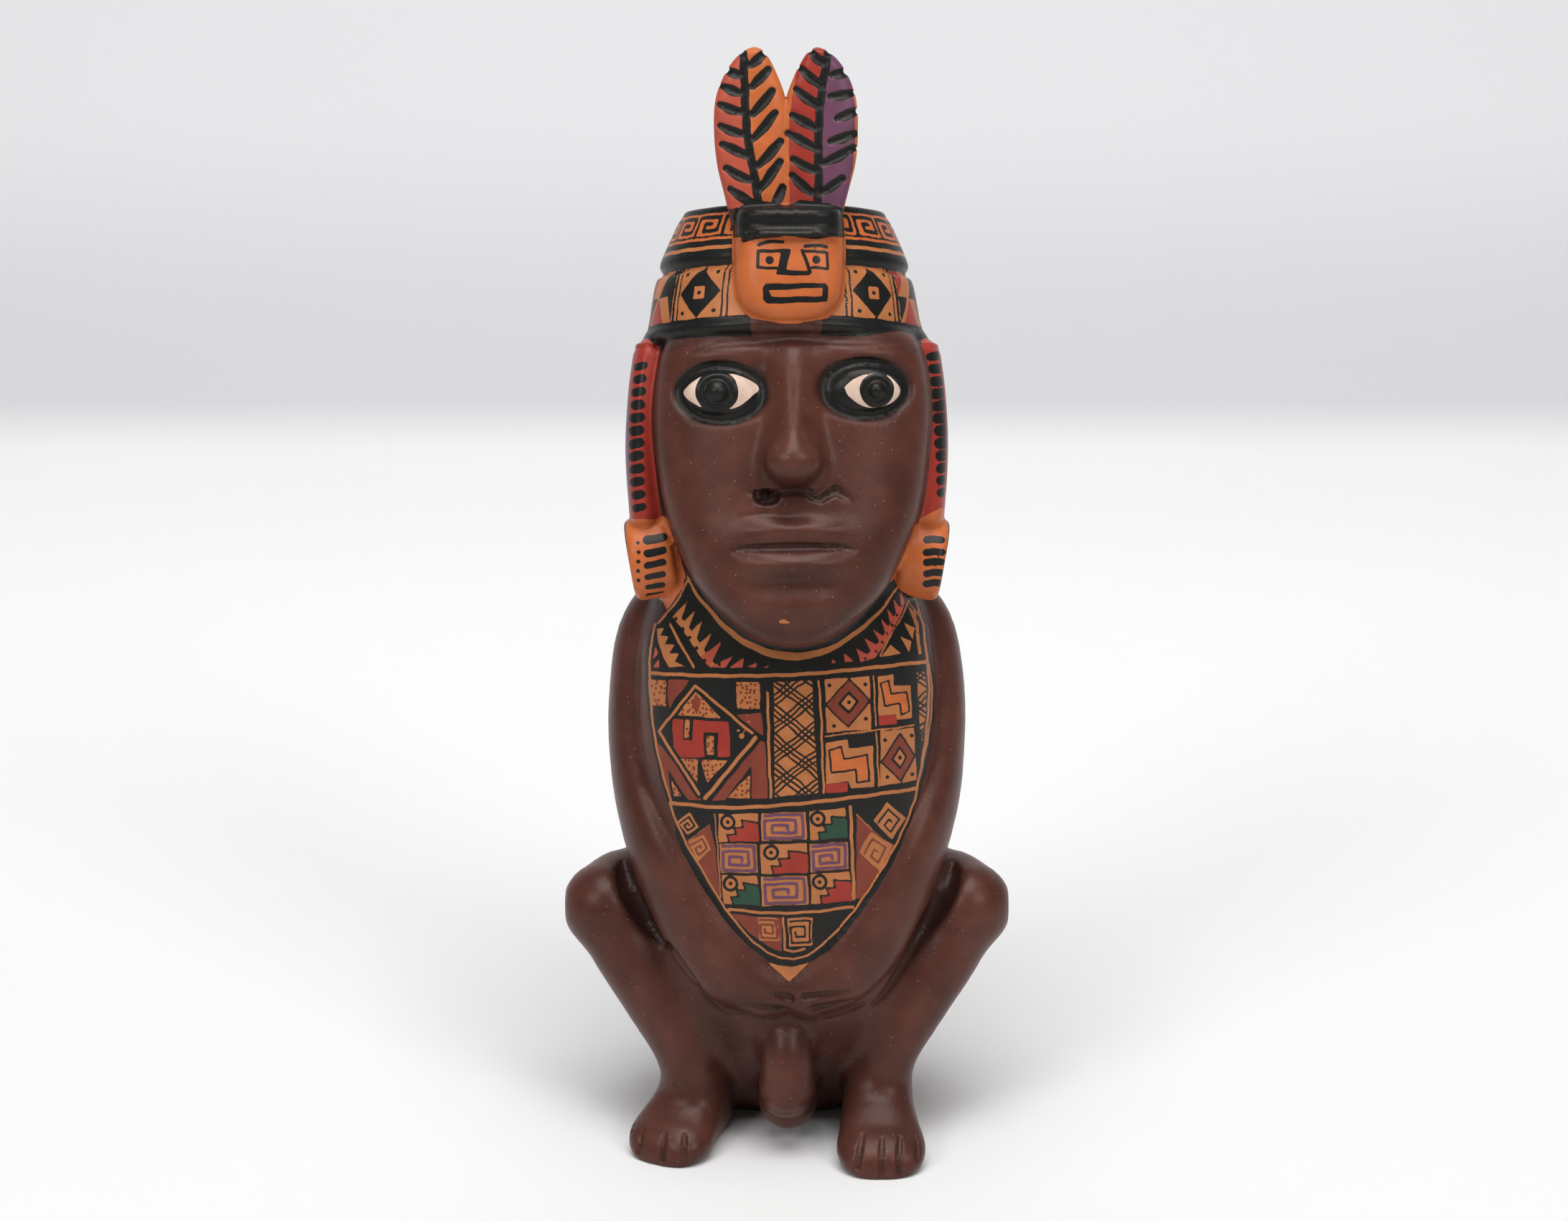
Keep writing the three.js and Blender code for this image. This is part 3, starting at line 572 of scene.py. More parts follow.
class Form:
    """The whole figure's form as one field of distances."""

    def __init__(self) -> None:
        self.trunk = Pod(Curve(TRUNK_ROWS), 0.0, TRUNK_SQUARENESS)
        self.skull = Pod(Curve(SKULL_ROWS), 0.0, TRUNK_SQUARENESS)
        self.face = Pod(Curve(FACE_ROWS), FACE_CENTRE, FACE_SQUARENESS, 0.6)
        self.hat = Pod(Curve(HAT_ROWS), HAT_CENTRE, HAT_SQUARENESS, 0.8)
        self.mask = Pod(Curve(MASK_ROWS), MASK_CENTRE, MASK_SQUARENESS, 0.8)
        self.hair = Pod(Curve(HAIR_ROWS), MASK_CENTRE, MASK_SQUARENESS, 0.6)
        self.feathers = [self._feather(side) for side in (-1, 1)]
        self.thigh = Sweep.along(THIGH_PATH)
        self.shin = Sweep.along(SHIN_PATH)
        self.member = Sweep.along(MEMBER_PATH)
        self.arm = self._arm()
        flap = [(*point, *FLAP_HALF) for point in FLAP_PATH]
        self.flap = Sweep.along(flap, out=(0, -1, 0))
        self.wall = Sweep.along([(*point, *WALL_HALF) for point in WALL_PATH])
        self.body_grooves = Carving.seen(self.distance, BODY_GROOVES)
        self.face_grooves = Seams([np.asarray(path, float) for path in FACE_GROOVES])

    @staticmethod
    def _feather(side: int) -> Pod:
        """One feather, to the left or the right of the seam."""
        rows = []
        for z, offset, half in FEATHER_ROWS:
            thin = min(FEATHER_THICKNESS / 2, half)
            middle = FEATHER_FRONT + FEATHER_THICKNESS / 2
            rows.append((z, FEATHER_SEAM + side * offset, half, middle - thin, middle + thin))
        return FeatherPod(Curve(rows), 0.0, FEATHER_SQUARENESS, 0.8)

    @staticmethod
    def _arm() -> Sweep:
        """An arm that lies on the trunk, its section squared to the trunk's skin."""
        rows = Curve([(k / (len(ARM_ROWS) - 1), *row) for k, row in enumerate(ARM_ROWS)])
        turn, height, half, rise = rows(np.linspace(0, 1, 37)).T
        points, facing = trunk_surface(turn, height)
        centres = points + facing * (rise - ARM_HALF_DEPTH)[:, None]
        return Sweep.oriented(centres, half, np.full(len(half), ARM_HALF_DEPTH), facing)

    def head(self, points: Array) -> Array:
        """Skull, face, hat, mask, feathers and ears, in the head's frame."""
        skull = soft_min(self.skull.distance(points), self.face.distance(points), 2.0)
        skull = skull - features(points)
        x, z = NOSE_TIP
        y = face_depth(np.array([x]), np.array([z]))[0] - NOSE_TIP_STAND
        skull = soft_min(skull, ball(points, (x, y, z), NOSE_TIP_HALF), 2.4)
        for x, z in EYES:
            y = face_depth(np.array([x]), np.array([z]))[0] + EYE_STAND
            skull = soft_min(skull, ball(points, (x, y, z), EYE_HALF), 0.4)
        lowered = points.copy()
        lowered[:, 2] -= HAT_ARCH * np.clip(points[:, 1] / HAT_RIM_FRONT, 0, 1) ** 2
        body = soft_min(skull, self.hat.distance(lowered), 0.6)
        front = soft_min(self.mask.distance(points), self.hair.distance(points), 0.4)
        body = soft_min(body, front, 0.6)
        for feather in self.feathers:
            body = soft_min(body, feather.distance(points), 0.5)
        mirrored = points * (-1, 1, 1)
        for side in (points, mirrored):
            body = soft_min(body, self.wall.distance(side), 3.0)
            body = soft_min(body, self.flap.distance(side), 2.8)
            body = soft_min(body, self.spool(side), 0.6)
        return body

    @staticmethod
    def spool(points: Array) -> Array:
        """The round ear spool: a short drum, dished outside, its axis a little turned down."""
        moved = points - np.asarray(SPOOL_CENTRE)
        cos, sin = math.cos(SPOOL_TURN), math.sin(SPOOL_TURN)
        along = moved[:, 0] * cos - moved[:, 2] * sin
        up = moved[:, 0] * sin + moved[:, 2] * cos
        radial = np.hypot(up, moved[:, 1])
        drum = soft_max(radial - SPOOL_RADIUS, np.abs(along) - SPOOL_REACH, 1.6)
        dish = soft_max(radial - (SPOOL_RADIUS - 3.0), SPOOL_REACH - SPOOL_DISH - along, 0.8)
        return soft_max(drum, -dish, 0.6)

    def distance(self, points: Array) -> Array:
        """About how far each point lies outside the figure, in millimetres."""
        body = self.trunk.distance(points)
        mirrored = points * (-1, 1, 1)
        for side in (points, mirrored):
            leg = soft_min(self.thigh.distance(side), self.shin.distance(side), 3.0)
            body = soft_min(body, leg, 4.0)
        for foot in (LEFT_FOOT, RIGHT_FOOT):
            body = soft_min(body, foot.distance(points), 3.0)
        loins = soft_min(self.member.distance(points), ball(points, SAC_CENTRE, SAC_HALF), 0.6)
        body = soft_min(body, loins, 2.6)
        for side in (points, mirrored):
            body = soft_min(body, self.arm.distance(side), 1.4)
        high = points[:, 2] > 95.0
        result = body
        if high.any():
            head = np.full(len(points), FAR)
            head[high] = self.head(to_head(points[high]))
            result = soft_min(body, head, 1.2)
        return soft_max(result, -points[:, 2], 0.5)

    def detailed(self, points: Array) -> Array:
        """The form with its engraved lines and the unevenness of the clay, kept inside the solid's box."""
        result = self.distance(points) + uneven(points)
        uv = VIEW.plane(points)
        head = to_head(points)
        x, y, z = points.T
        face = (z > 118) & (head[:, 1] < -12)
        if face.any():
            result[face] += self._face_relief(head[face], uv[face])
        crest = (z > 180) & (head[:, 1] < -14)
        if crest.any():
            result[crest] += self._barbs(uv[crest], head[crest])
        low = (y < 0) & (z < 75)
        if low.any():
            result[low] += self.body_grooves.measure(points[low])[0]
        feet = (z < 14) & (y < -12)
        if feet.any():
            member = np.hypot(x[feet], y[feet] + 19) < 8
            ring = np.abs(z[feet] - 10.6 - 0.06 * x[feet] ** 2)
            result[feet] += np.where(member, groove(ring, 0.8, 0.3), 0.0)
        result = soft_max(result, np.abs(x) - BOX_HIGH[0], 0.4)
        result = soft_max(result, y - BOX_HIGH[1], 0.4)
        return soft_max(result, BOX_LOW[1] - y, 0.4)

    def _face_relief(self, head: Array, uv: Array) -> Array:
        """The sunk ring round each eye, the boss of each iris, the nostril and the face's folds."""
        depth = np.zeros(len(head))
        for x, z in EYES:
            ring = np.hypot((head[:, 0] - x) / 8.0, (head[:, 2] - z) / 5.2)
            depth += groove(np.abs(ring - 1.0) * 6.4, 1.9, 1.0)
        window = Layout.window(*Eyes.WINDOW)
        for centre, radius in Eyes.IRISES:
            middle = window.place([centre])[0]
            distance = np.hypot(*(uv - middle).T)
            size = window.length(radius)
            depth -= 0.45 * np.clip(1.0 - (distance / (size * 0.98)) ** 4, 0.0, 1.0)
            depth += groove(np.abs(distance - 0.6 * size), 0.8, 0.6)
            depth -= groove(distance, 0.48 * size, 0.7)
        depth += self.face_grooves.measure(head[:, 0], head[:, 2])[0]
        depth += groove(np.hypot((head[:, 0] - 0.9) / 1.6, head[:, 2] - 14.6), 2.4, 0.4)
        chin = np.hypot(head[:, 0] - 1.8, (head[:, 2] + 3.0) * 1.3)
        depth -= groove(chin, 9.0, 0.6)
        for side in (-1, 1):
            socket = np.hypot((head[:, 0] - 1.6 - side * 7.0) / 1.0, (head[:, 2] - 43.5) / 2.0)
            depth += groove(socket, 3.8, 0.4)
            brow, _ = to_segment(head[:, 0], head[:, 2], (1.2 + side * 6.0, 47.0), (1.2 + side * 20.0, 46.6))
            depth -= groove(brow, 3.0, 0.4)
        x, z, wide, tall, deep = NOSTRIL
        hole = np.hypot((head[:, 0] - x) / wide, (head[:, 2] - z) / tall)
        inside = np.clip((1.12 - hole) / 0.4, 0.0, 1.0)
        return depth + deep * inside * inside * (3.0 - 2.0 * inside)

    @staticmethod
    def _barbs(uv: Array, head: Array) -> Array:
        """The feathers' engraved barbs and the shallow line of each rib."""
        window = Layout.window(*Crest.WINDOW)
        above = np.clip((head[:, 2] - 75.5) / 1.5, 0.0, 1.0)
        nearest = np.full(len(uv), FAR)
        for barb in Crest.BARBS:
            nearest = np.minimum(nearest, to_segment(*uv.T, *window.place(barb))[0])
        rib = np.full(len(uv), FAR)
        for path in (Crest.LEFT_RIB, Crest.RIGHT_RIB):
            places = window.place(path)
            for start, end in zip(places[:-1], places[1:]):
                rib = np.minimum(rib, to_segment(*uv.T, start, end)[0])
        return above * (groove(nearest, 1.0, 0.5) + groove(rib, 1.0, 0.2))


def groove(distance: Array, half: float, depth: float) -> Array:
    """A rounded groove depth (1 - (d / half)^2)^2 deep at a distance d from its line."""
    return depth * (1.0 - np.clip(distance / half, 0.0, 1.0) ** 2) ** 2


@dataclass(frozen=True)
class Seams:
    """Rounded grooves on a flat sheet: paths with rows of a place, a half width and a depth."""

    paths: Sequence[Array]

    def measure(self, u: Array, v: Array) -> tuple[Array, Array]:
        """How deep the grooves are at each place, and how far the nearest path is."""
        depth = np.zeros(len(u))
        reach = np.full(len(u), FAR)
        for path in self.paths:
            low, high = path[:, :2].min(axis=0) - 4.0, path[:, :2].max(axis=0) + 4.0
            near = np.flatnonzero((u > low[0]) & (u < high[0]) & (v > low[1]) & (v < high[1]))
            for start, end in zip(path[:-1], path[1:]):
                away, t = to_segment(u[near], v[near], start, end)
                half = start[2] + t * (end[2] - start[2])
                deep = start[3] + t * (end[3] - start[3])
                depth[near] = np.maximum(depth[near], deep * groove(away / half, 1.0, 1.0))
                reach[near] = np.minimum(reach[near], away)
        return depth, reach


@dataclass(frozen=True)
class Carving:
    """Grooves along lines on the skin: rows of a place on it, the reach to each side and a strength.

    A groove lowers the skin by strength (1 - (d / reach)^2)^2 at a distance d in space from its
    line, so a deep one narrows as it goes down.
    """

    lines: Sequence[Array]

    @staticmethod
    def seen(shape: Field, drawn: Sequence) -> "Carving":
        """Lines drawn in windows of the front view, each laid on the skin where the camera sees it."""
        tables = []
        for window, paths in drawn:
            for path in paths:
                table = smooth_path(path, 3)
                tables.append(np.column_stack([Layout.window(*window).place(table[:, :2]), table[:, 2:]]))
        places = np.vstack(tables)
        skin = VIEW.touch(shape, places[:, :2])
        rows = np.column_stack([skin, places[:, 2:]])
        met = np.abs(shape(skin)) < 0.3
        ends = np.cumsum([len(table) for table in tables])
        starts = ends - [len(table) for table in tables]
        return Carving([rows[start:end][met[start:end]] for start, end in zip(starts, ends)])

    def measure(self, points: Array) -> tuple[Array, Array]:
        """How far each point is lowered, and how far the nearest line is."""
        depth = np.zeros(len(points))
        reach = np.full(len(points), FAR)
        for line in self.lines:
            low, high = line[:, :3].min(axis=0) - FAR / 2, line[:, :3].max(axis=0) + FAR / 2
            near = np.flatnonzero(np.all((points > low) & (points < high), axis=1))
            inside = points[near]
            for start, end in zip(line[:-1], line[1:]):
                along = end[:3] - start[:3]
                t = np.clip((inside - start[:3]) @ along / (along @ along), 0.0, 1.0)
                away = np.linalg.norm(inside - start[:3] - t[:, None] * along, axis=1)
                half = start[3] + t * (end[3] - start[3])
                strength = start[4] + t * (end[4] - start[4])
                depth[near] = np.maximum(depth[near], strength * groove(away / half, 1.0, 1.0))
                reach[near] = np.minimum(reach[near], away)
        return depth, reach


def features(points: Array) -> Array:
    """How far the nose and the lips stand out from the plain face, in the head's frame.

    The nose is a bell across the face, rise (1 - t^2)^3, with t from 0 at its ridge to 1 at its
    feet. A lip is rise (1 - t^2)^1.5 exp(-(dz / tall)^2), with t from 0 in the mouth's middle to 1 at
    its corners.
    """
    x, y, z = points.T
    rise, half = Curve(NOSE_ROWS)(z).T
    t = np.clip(np.abs(x - NOSE_CENTRE) / half, 0.0, 1.0)
    total = rise * (1.0 - t * t) ** 3
    for height, tall, wide, out in LIP_ROWS:
        t = np.minimum(np.abs(x - MOUTH_CENTRE) / wide, 1.0)
        total = total + out * (1 - t**2) ** 1.5 * np.exp(-(((z - height + 0.5 * t * t) / tall) ** 2))
    return total * np.clip(-y / 8.0 - 1.0, 0.0, 1.0)


def uneven(points: Array) -> Array:
    """The hand-smoothed clay's unevenness: slow waves of less than a tenth of a millimetre."""
    x, y, z = points.T
    slow = np.sin(0.31 * x + 0.17 * z + 1.0) * np.sin(0.29 * y - 0.23 * z)
    return 0.08 * slow


@dataclass(frozen=True)
class FeatherPod(Pod):
    """A pod whose sections' centres move sideways as they rise: rows start with the centre."""

    def radius(self, points: Array) -> tuple[Array, Array, Array]:
        """The section's own radius of each point, as in Pod, about the row's own centre."""
        centre, half, front, back = self.rows(points[:, 2]).T
        depth = np.maximum((back - front) / 2.0, 0.1)
        half = np.maximum(half, 0.1)
        u = np.abs(points[:, 0] - centre) / half
        v = np.abs(points[:, 1] - (front + back) / 2.0) / depth
        p = self.squareness
        r = np.maximum((u**p + v**p) ** (1.0 / p), 1e-3)
        return r, (u / r) ** (p - 1) / half, (v / r) ** (p - 1) / depth


class Skin:
    """A closed triangle mesh that follows a field, finer where it is asked to be."""

    def __init__(self, shape: Field, low: Array, high: Array, step: float) -> None:
        self.shape = shape
        self.vertices, quads = self._nets(low, high, step)
        self.faces = self._triangles(quads)
        self.settle(2)

    def _nets(self, low: Array, high: Array, step: float) -> tuple[Array, Array]:
        """Puts one vertex in each cell that the skin passes through, and a quad on each crossed edge.

        A vertex is the mean of the places where the field is zero along its cell's twelve edges,
        each a / (a - b) of the way between corner values a and b.
        """
        axes = [np.arange(a, b + step, step) for a, b in zip(low, high)]
        grid = np.stack(np.meshgrid(*axes, indexing="ij"), axis=-1)
        shape = grid.shape[:3]
        values = self._near_values(grid).reshape(shape)
        inside = values < 0
        cells = tuple(n - 1 for n in shape)
        total = np.zeros(cells + (3,))
        count = np.zeros(cells)
        for axis in range(3):
            others = [k for k in range(3) if k != axis]
            for i in (0, 1):
                for j in (0, 1):
                    start = [0, 0, 0]
                    start[others[0]], start[others[1]] = i, j
                    end = list(start)
                    end[axis] = 1
                    a = values[tuple(slice(s, s + n) for s, n in zip(start, cells))]
                    b = values[tuple(slice(s, s + n) for s, n in zip(end, cells))]
                    crossed = (a < 0) != (b < 0)
                    t = np.where(crossed, a / np.where(crossed, a - b, 1.0), 0.0)
                    place = np.zeros(cells + (3,))
                    place[...] = start
                    place[..., axis] += t
                    total += place * crossed[..., None]
                    count += crossed
        used = count > 0
        number = np.full(cells, -1)
        number[used] = np.arange(used.sum())
        index = np.argwhere(used)
        vertices = low + step * (index + total[used] / count[used][:, None])
        quads = []
        for axis in range(3):
            b_axis, c_axis = (axis + 1) % 3, (axis + 2) % 3
            first = inside[tuple(slice(0, -1) if k == axis else slice(1, -1) for k in range(3))]
            second = inside[tuple(slice(1, None) if k == axis else slice(1, -1) for k in range(3))]
            place = np.argwhere(first != second)
            leaving = first[tuple(place.T)]
            place[:, b_axis] += 1
            place[:, c_axis] += 1
            corners = []
            for db, dc in ((-1, -1), (0, -1), (0, 0), (-1, 0)):
                cell = place.copy()
                cell[:, b_axis] += db
                cell[:, c_axis] += dc
                corners.append(number[tuple(cell.T)])
            quad = np.column_stack(corners)
            quad[~leaving] = quad[~leaving][:, ::-1]
            quads.append(quad)
        return vertices, np.vstack(quads)

    def _near_values(self, grid: Array) -> Array:
        """The field on a grid, worked out in full only where a grid four times as coarse is near zero."""
        coarse = grid[::4, ::4, ::4]
        rough = self.shape(coarse.reshape(-1, 3)).reshape(coarse.shape[:3])
        for axis in range(3):
            rough = np.repeat(rough, 4, axis=axis)
        rough = rough[tuple(slice(0, n) for n in grid.shape[:3])].ravel()
        near = np.abs(rough) < 3.2 * np.linalg.norm(grid[0, 0, 0] - grid[1, 1, 1])
        values = np.where(rough < 0, -FAR, FAR)
        values[near] = self.shape(grid.reshape(-1, 3)[near])
        return values

    def _triangles(self, quads: Array) -> Array:
        """Parts each quad along its shorter diagonal."""
        corners = self.vertices[quads]
        first = np.linalg.norm(corners[:, 0] - corners[:, 2], axis=1)
        second = np.linalg.norm(corners[:, 1] - corners[:, 3], axis=1)
        short = first <= second
        a, b = quads[short], quads[~short]
        return np.vstack([a[:, [0, 1, 2]], a[:, [0, 2, 3]], b[:, [0, 1, 3]], b[:, [1, 2, 3]]])

    def gradient(self, points: Array, values: Array | None = None) -> tuple[Array, Array]:
        """The field and its slope at each point, by small steps forward."""
        step = 0.02
        values = self.shape(points) if values is None else values
        slope = np.empty_like(points)
        for axis in range(3):
            moved = points.copy()
            moved[:, axis] += step
            slope[:, axis] = (self.shape(moved) - values) / step
        return values, slope

    def project(self, points: Array, rounds: int = 1) -> Array:
        """Moves points onto the skin by Newton's step p - f grad f / |grad f|^2, half a millimetre at most."""
        for _ in range(rounds):
            values, slope = self.gradient(points)
            square = np.maximum(np.sum(slope * slope, axis=1), 0.05)
            step = slope * (values / square)[:, None]
            length = np.linalg.norm(step, axis=1)[:, None]
            points = points - step * np.minimum(1.0, 0.6 / np.maximum(length, 1e-9))
        return points

    def settle(self, rounds: int) -> None:
        """Moves every vertex onto the skin."""
        self.vertices = self.project(self.vertices, rounds)

    def edges(self) -> tuple[Array, Array]:
        """The mesh's edges, and which edge starts at each corner of each face."""
        pairs = np.stack([self.faces, np.roll(self.faces, -1, axis=1)], axis=-1).reshape(-1, 2)
        keys = np.sort(pairs, axis=1)
        code = keys[:, 0].astype(np.int64) * len(self.vertices) + keys[:, 1]
        unique, number = np.unique(code, return_inverse=True)
        edges = np.column_stack([unique // len(self.vertices), unique % len(self.vertices)])
        return edges, number.reshape(-1, 3)

    def refine(self, spacing: Callable[[Array], Array], passes: int) -> None:
        """Halves edges longer than the spacing asked for at their middle, longest edges first."""
        for _ in range(passes):
            edges, edge_of = self.edges()
            ends = self.vertices[edges]
            middle = ends.mean(axis=1)
            length = np.linalg.norm(ends[:, 0] - ends[:, 1], axis=1)
            long = np.flatnonzero(length > 1.35 * FINEST)
            split = np.zeros(len(edges), bool)
            split[long] = length[long] > 1.35 * spacing(middle[long])
            rows = np.arange(len(self.faces))
            longest = edge_of[rows, np.argmax(length[edge_of], axis=1)]
            for _ in range(6):
                before = split.sum()
                split[longest[split[edge_of].any(axis=1)]] = True
                if split.sum() == before:
                    break
            if not split.any():
                return
            number = np.full(len(edges), -1)
            number[split] = len(self.vertices) + np.arange(split.sum())
            self.vertices = np.vstack([self.vertices, self.project(middle[split])])
            self.faces = self._divide(self.faces, number[edge_of], length[edge_of])

    @staticmethod
    def _divide(faces: Array, middle: Array, length: Array) -> Array:
        """Parts each face by how many of its edges have a new middle: none, one, two or three."""
        count = (middle >= 0).sum(axis=1)
        parts = [faces[count == 0]]
        one = count == 1
        turn = np.argmax(middle[one] >= 0, axis=1)
        f, m, _ = Skin._turned(faces[one], middle[one], length[one], turn)
        parts += [np.column_stack([f[:, 0], m[:, 0], f[:, 2]]), np.column_stack([m[:, 0], f[:, 1], f[:, 2]])]
        two = count == 2
        turn = (np.argmax(middle[two] < 0, axis=1) + 1) % 3
        f, m, size = Skin._turned(faces[two], middle[two], length[two], turn)
        parts.append(np.column_stack([m[:, 0], f[:, 1], m[:, 1]]))
        first = size[:, 0] >= size[:, 1]
        a, b = first, ~first
        parts.append(np.column_stack([f[a, 0], m[a, 0], f[a, 2]]))
        parts.append(np.column_stack([m[a, 0], m[a, 1], f[a, 2]]))
        parts.append(np.column_stack([f[b, 0], m[b, 0], m[b, 1]]))
        parts.append(np.column_stack([f[b, 0], m[b, 1], f[b, 2]]))
        three = count == 3
        f, m = faces[three], middle[three]
        parts.append(np.column_stack([f[:, 0], m[:, 0], m[:, 2]]))
        parts.append(np.column_stack([m[:, 0], f[:, 1], m[:, 1]]))
        parts.append(np.column_stack([m[:, 2], m[:, 1], f[:, 2]]))
        parts.append(m)
        return np.vstack(parts)

    @staticmethod
    def _turned(faces: Array, middle: Array, length: Array, turn: Array) -> tuple[Array, Array, Array]:
        """The same faces, each starting from another of its corners."""
        order = (turn[:, None] + np.arange(3)) % 3
        rows = np.arange(len(faces))[:, None]
        return faces[rows, order], middle[rows, order], length[rows, order]

    def relax(self, rounds: int, share: float = 0.5) -> None:
        """Evens the triangles out: each vertex slides along the skin towards its neighbours' mean."""
        edges, _ = self.edges()
        both = np.vstack([edges, edges[:, ::-1]])
        count = np.bincount(both[:, 0], minlength=len(self.vertices))[:, None]
        for _ in range(rounds):
            mean = np.column_stack(
                [
                    np.bincount(both[:, 0], self.vertices[both[:, 1], axis], len(self.vertices))
                    for axis in range(3)
                ]
            )
            move = (mean / count - self.vertices) * share
            normal = self.normals()
            move -= normal * np.sum(move * normal, axis=1)[:, None]
            self.vertices = self.vertices + move
            self.settle(1)

    def normals(self) -> Array:
        """Outward normals at the vertices, the mean of their faces' weighted by area."""
        corners = self.vertices[self.faces]
        face = np.cross(corners[:, 1] - corners[:, 0], corners[:, 2] - corners[:, 0])
        total = np.zeros_like(self.vertices)
        for corner in range(3):
            for axis in range(3):
                total[:, axis] += np.bincount(self.faces[:, corner], face[:, axis], len(self.vertices))
        return total / np.maximum(np.linalg.norm(total, axis=1), 1e-12)[:, None]


@dataclass(frozen=True)
class View:
    """The camera: where it looks, from how far and how high, and its lens."""

    target: tuple[float, float, float] = (0.0, 0.0, 108.979)
    elevation: float = math.radians(17.0)
    distance: float = 720.0
    sensor: float = 36.0
    image_width: int = 2184
    image_height: int = 1701
    focal_pixels: float = 5019.52
    middle: tuple[float, float] = (1096.0, 850.5)

    def plane(self, points: Array) -> Array:
        """Where points appear, as millimetres right and up on a plane through the target.

        A point d in front of the target appears distance / (distance - d) times as large.
        """
        moved = points - np.asarray(self.target)
        cos, sin = math.cos(self.elevation), math.sin(self.elevation)
        toward = -moved[:, 1] * cos + moved[:, 2] * sin
        up = moved[:, 1] * sin + moved[:, 2] * cos
        scale = self.distance / (self.distance - toward)
        return np.column_stack([moved[:, 0] * scale, up * scale])

    def touch(self, shape: Field, places: Array) -> Array:
        """Where the camera sees a form's skin at places of the plane.

        Each point walks from the camera along its ray by nine tenths of its distance from the form.
        """
        cos, sin = math.cos(self.elevation), math.sin(self.elevation)
        target = np.asarray(self.target)
        eye = target + self.distance * np.array([0.0, -cos, sin])
        aim = target + places[:, :1] * (1.0, 0.0, 0.0) + places[:, 1:] * (0.0, sin, cos)
        ray = (aim - eye) / np.linalg.norm(aim - eye, axis=1)[:, None]
        points = aim - 60.0 * ray
        for _ in range(90):
            points = points + ray * (0.9 * shape(points))[:, None]
        return points

    def build(self) -> bpy.types.Object:
        """Makes the camera and hands it to the scene."""
        data = bpy.data.cameras.new("camera")
        data.sensor_fit = "HORIZONTAL"
        data.sensor_width = self.sensor
        data.lens = self.sensor * self.focal_pixels / self.image_width
        data.shift_x = (self.image_width / 2 - self.middle[0]) / self.image_width
        data.clip_start = 0.05
        data.clip_end = 20.0
        camera = bpy.data.objects.new("camera", data)
        target = Vector(self.target) * MM
        back = Vector((0.0, -math.cos(self.elevation), math.sin(self.elevation)))
        camera.location = target + back * self.distance * MM
        camera.rotation_euler = (math.pi / 2 - self.elevation, 0.0, 0.0)
        bpy.context.scene.collection.objects.link(camera)
        bpy.context.scene.camera = camera
        return camera


VIEW = View()


@dataclass
class Studio:
    """A pale floor that curves up into a grey backdrop, with soft boxes on both sides and above."""

    width: float = 5.0
    near: float = -3.0
    wall: float = 1.0
    radius: float = 0.5
    height: float = 2.5

    def build(self) -> None:
        """Makes floor, lights and world."""
        self._floor()
        self._light("left", (-0.95, -1.2, 1.15), 0.6, 7.6)
        self._light("right", (0.95, -1.2, 1.15), 0.6, 7.6)
        self._light("overhead", (0.0, -0.36, 1.45), 1.0, 18.6)
        self._world(0.11)

    def _floor(self) -> None:
        """One strip of floor and wall, joined by a round sweep, white below and grey above, with painted shade: the
        floor darker towards the camera and a grey band low on the sweep, paling higher up.
        """
        bend = [
            (self.wall - self.radius + self.radius * math.sin(a), self.radius - self.radius * math.cos(a))
            for a in np.linspace(0, math.pi / 2, 33)
        ]
        profile = [(self.near, 0.0), *bend, (self.wall, self.height)]
        vertices = [(x, y, z) for y, z in profile for x in (-self.width, self.width)]
        faces = [(2 * k, 2 * k + 1, 2 * k + 3, 2 * k + 2) for k in range(len(profile) - 1)]
        mesh = bpy.data.meshes.new("floor")
        mesh.from_pydata(vertices, [], faces)
        mesh.polygons.foreach_set("use_smooth", np.ones(len(faces), bool))
        floor = bpy.data.objects.new("floor", mesh)
        bpy.context.scene.collection.objects.link(floor)
        material = bpy.data.materials.new("backdrop_paper")
        material.use_nodes = True
        graph = Graph(material.node_tree)
        shader = material.node_tree.nodes["Principled BSDF"]
        place = graph.add("ShaderNodeTexCoord").outputs["Object"]
        parts = graph.add("ShaderNodeSeparateXYZ", None, {0: place}).outputs
        # Painted shade on the floor: darker in front, towards the camera, paler towards the wall
        level = graph.mix(graph.smooth(parts[1], -0.05, 0.4), (0.82, 0.82, 0.815, 1.0), (0.95, 0.95, 0.95, 1.0))
        # Painted shade in a grey band where the floor bends up into the wall
        bend_shade = graph.mix(graph.smooth(parts[2], 0.0005, 0.009), level, (0.72, 0.715, 0.735, 1.0))
        paper = graph.mix(graph.smooth(parts[2], 0.012, 0.09), bend_shade, (0.84, 0.84, 0.855, 1.0))
        material.node_tree.links.new(paper, shader.inputs["Base Color"])
        shader.inputs["Roughness"].default_value = 0.9
        mesh.materials.append(material)

    @staticmethod
    def _light(name: str, place: Sequence[float], size: float, power: float) -> None:
        """A square soft box that faces the middle of the figure."""
        data = bpy.data.lights.new(name, "AREA")
        data.size = size
        data.energy = power
        light = bpy.data.objects.new(name, data)
        light.location = place
        aim = Vector((0.0, 0.0, 0.1)) - Vector(place)
        light.rotation_euler = aim.to_track_quat("-Z", "Y").to_euler()
        bpy.context.scene.collection.objects.link(light)

    @staticmethod
    def _world(strength: float) -> None:
        """An even white surround."""
        world = bpy.data.worlds.new("surround")
        world.use_nodes = True
        background = world.node_tree.nodes["Background"]
        background.inputs["Color"].default_value = (1.0, 1.0, 1.0, 1.0)
        background.inputs["Strength"].default_value = strength
        bpy.context.scene.world = world


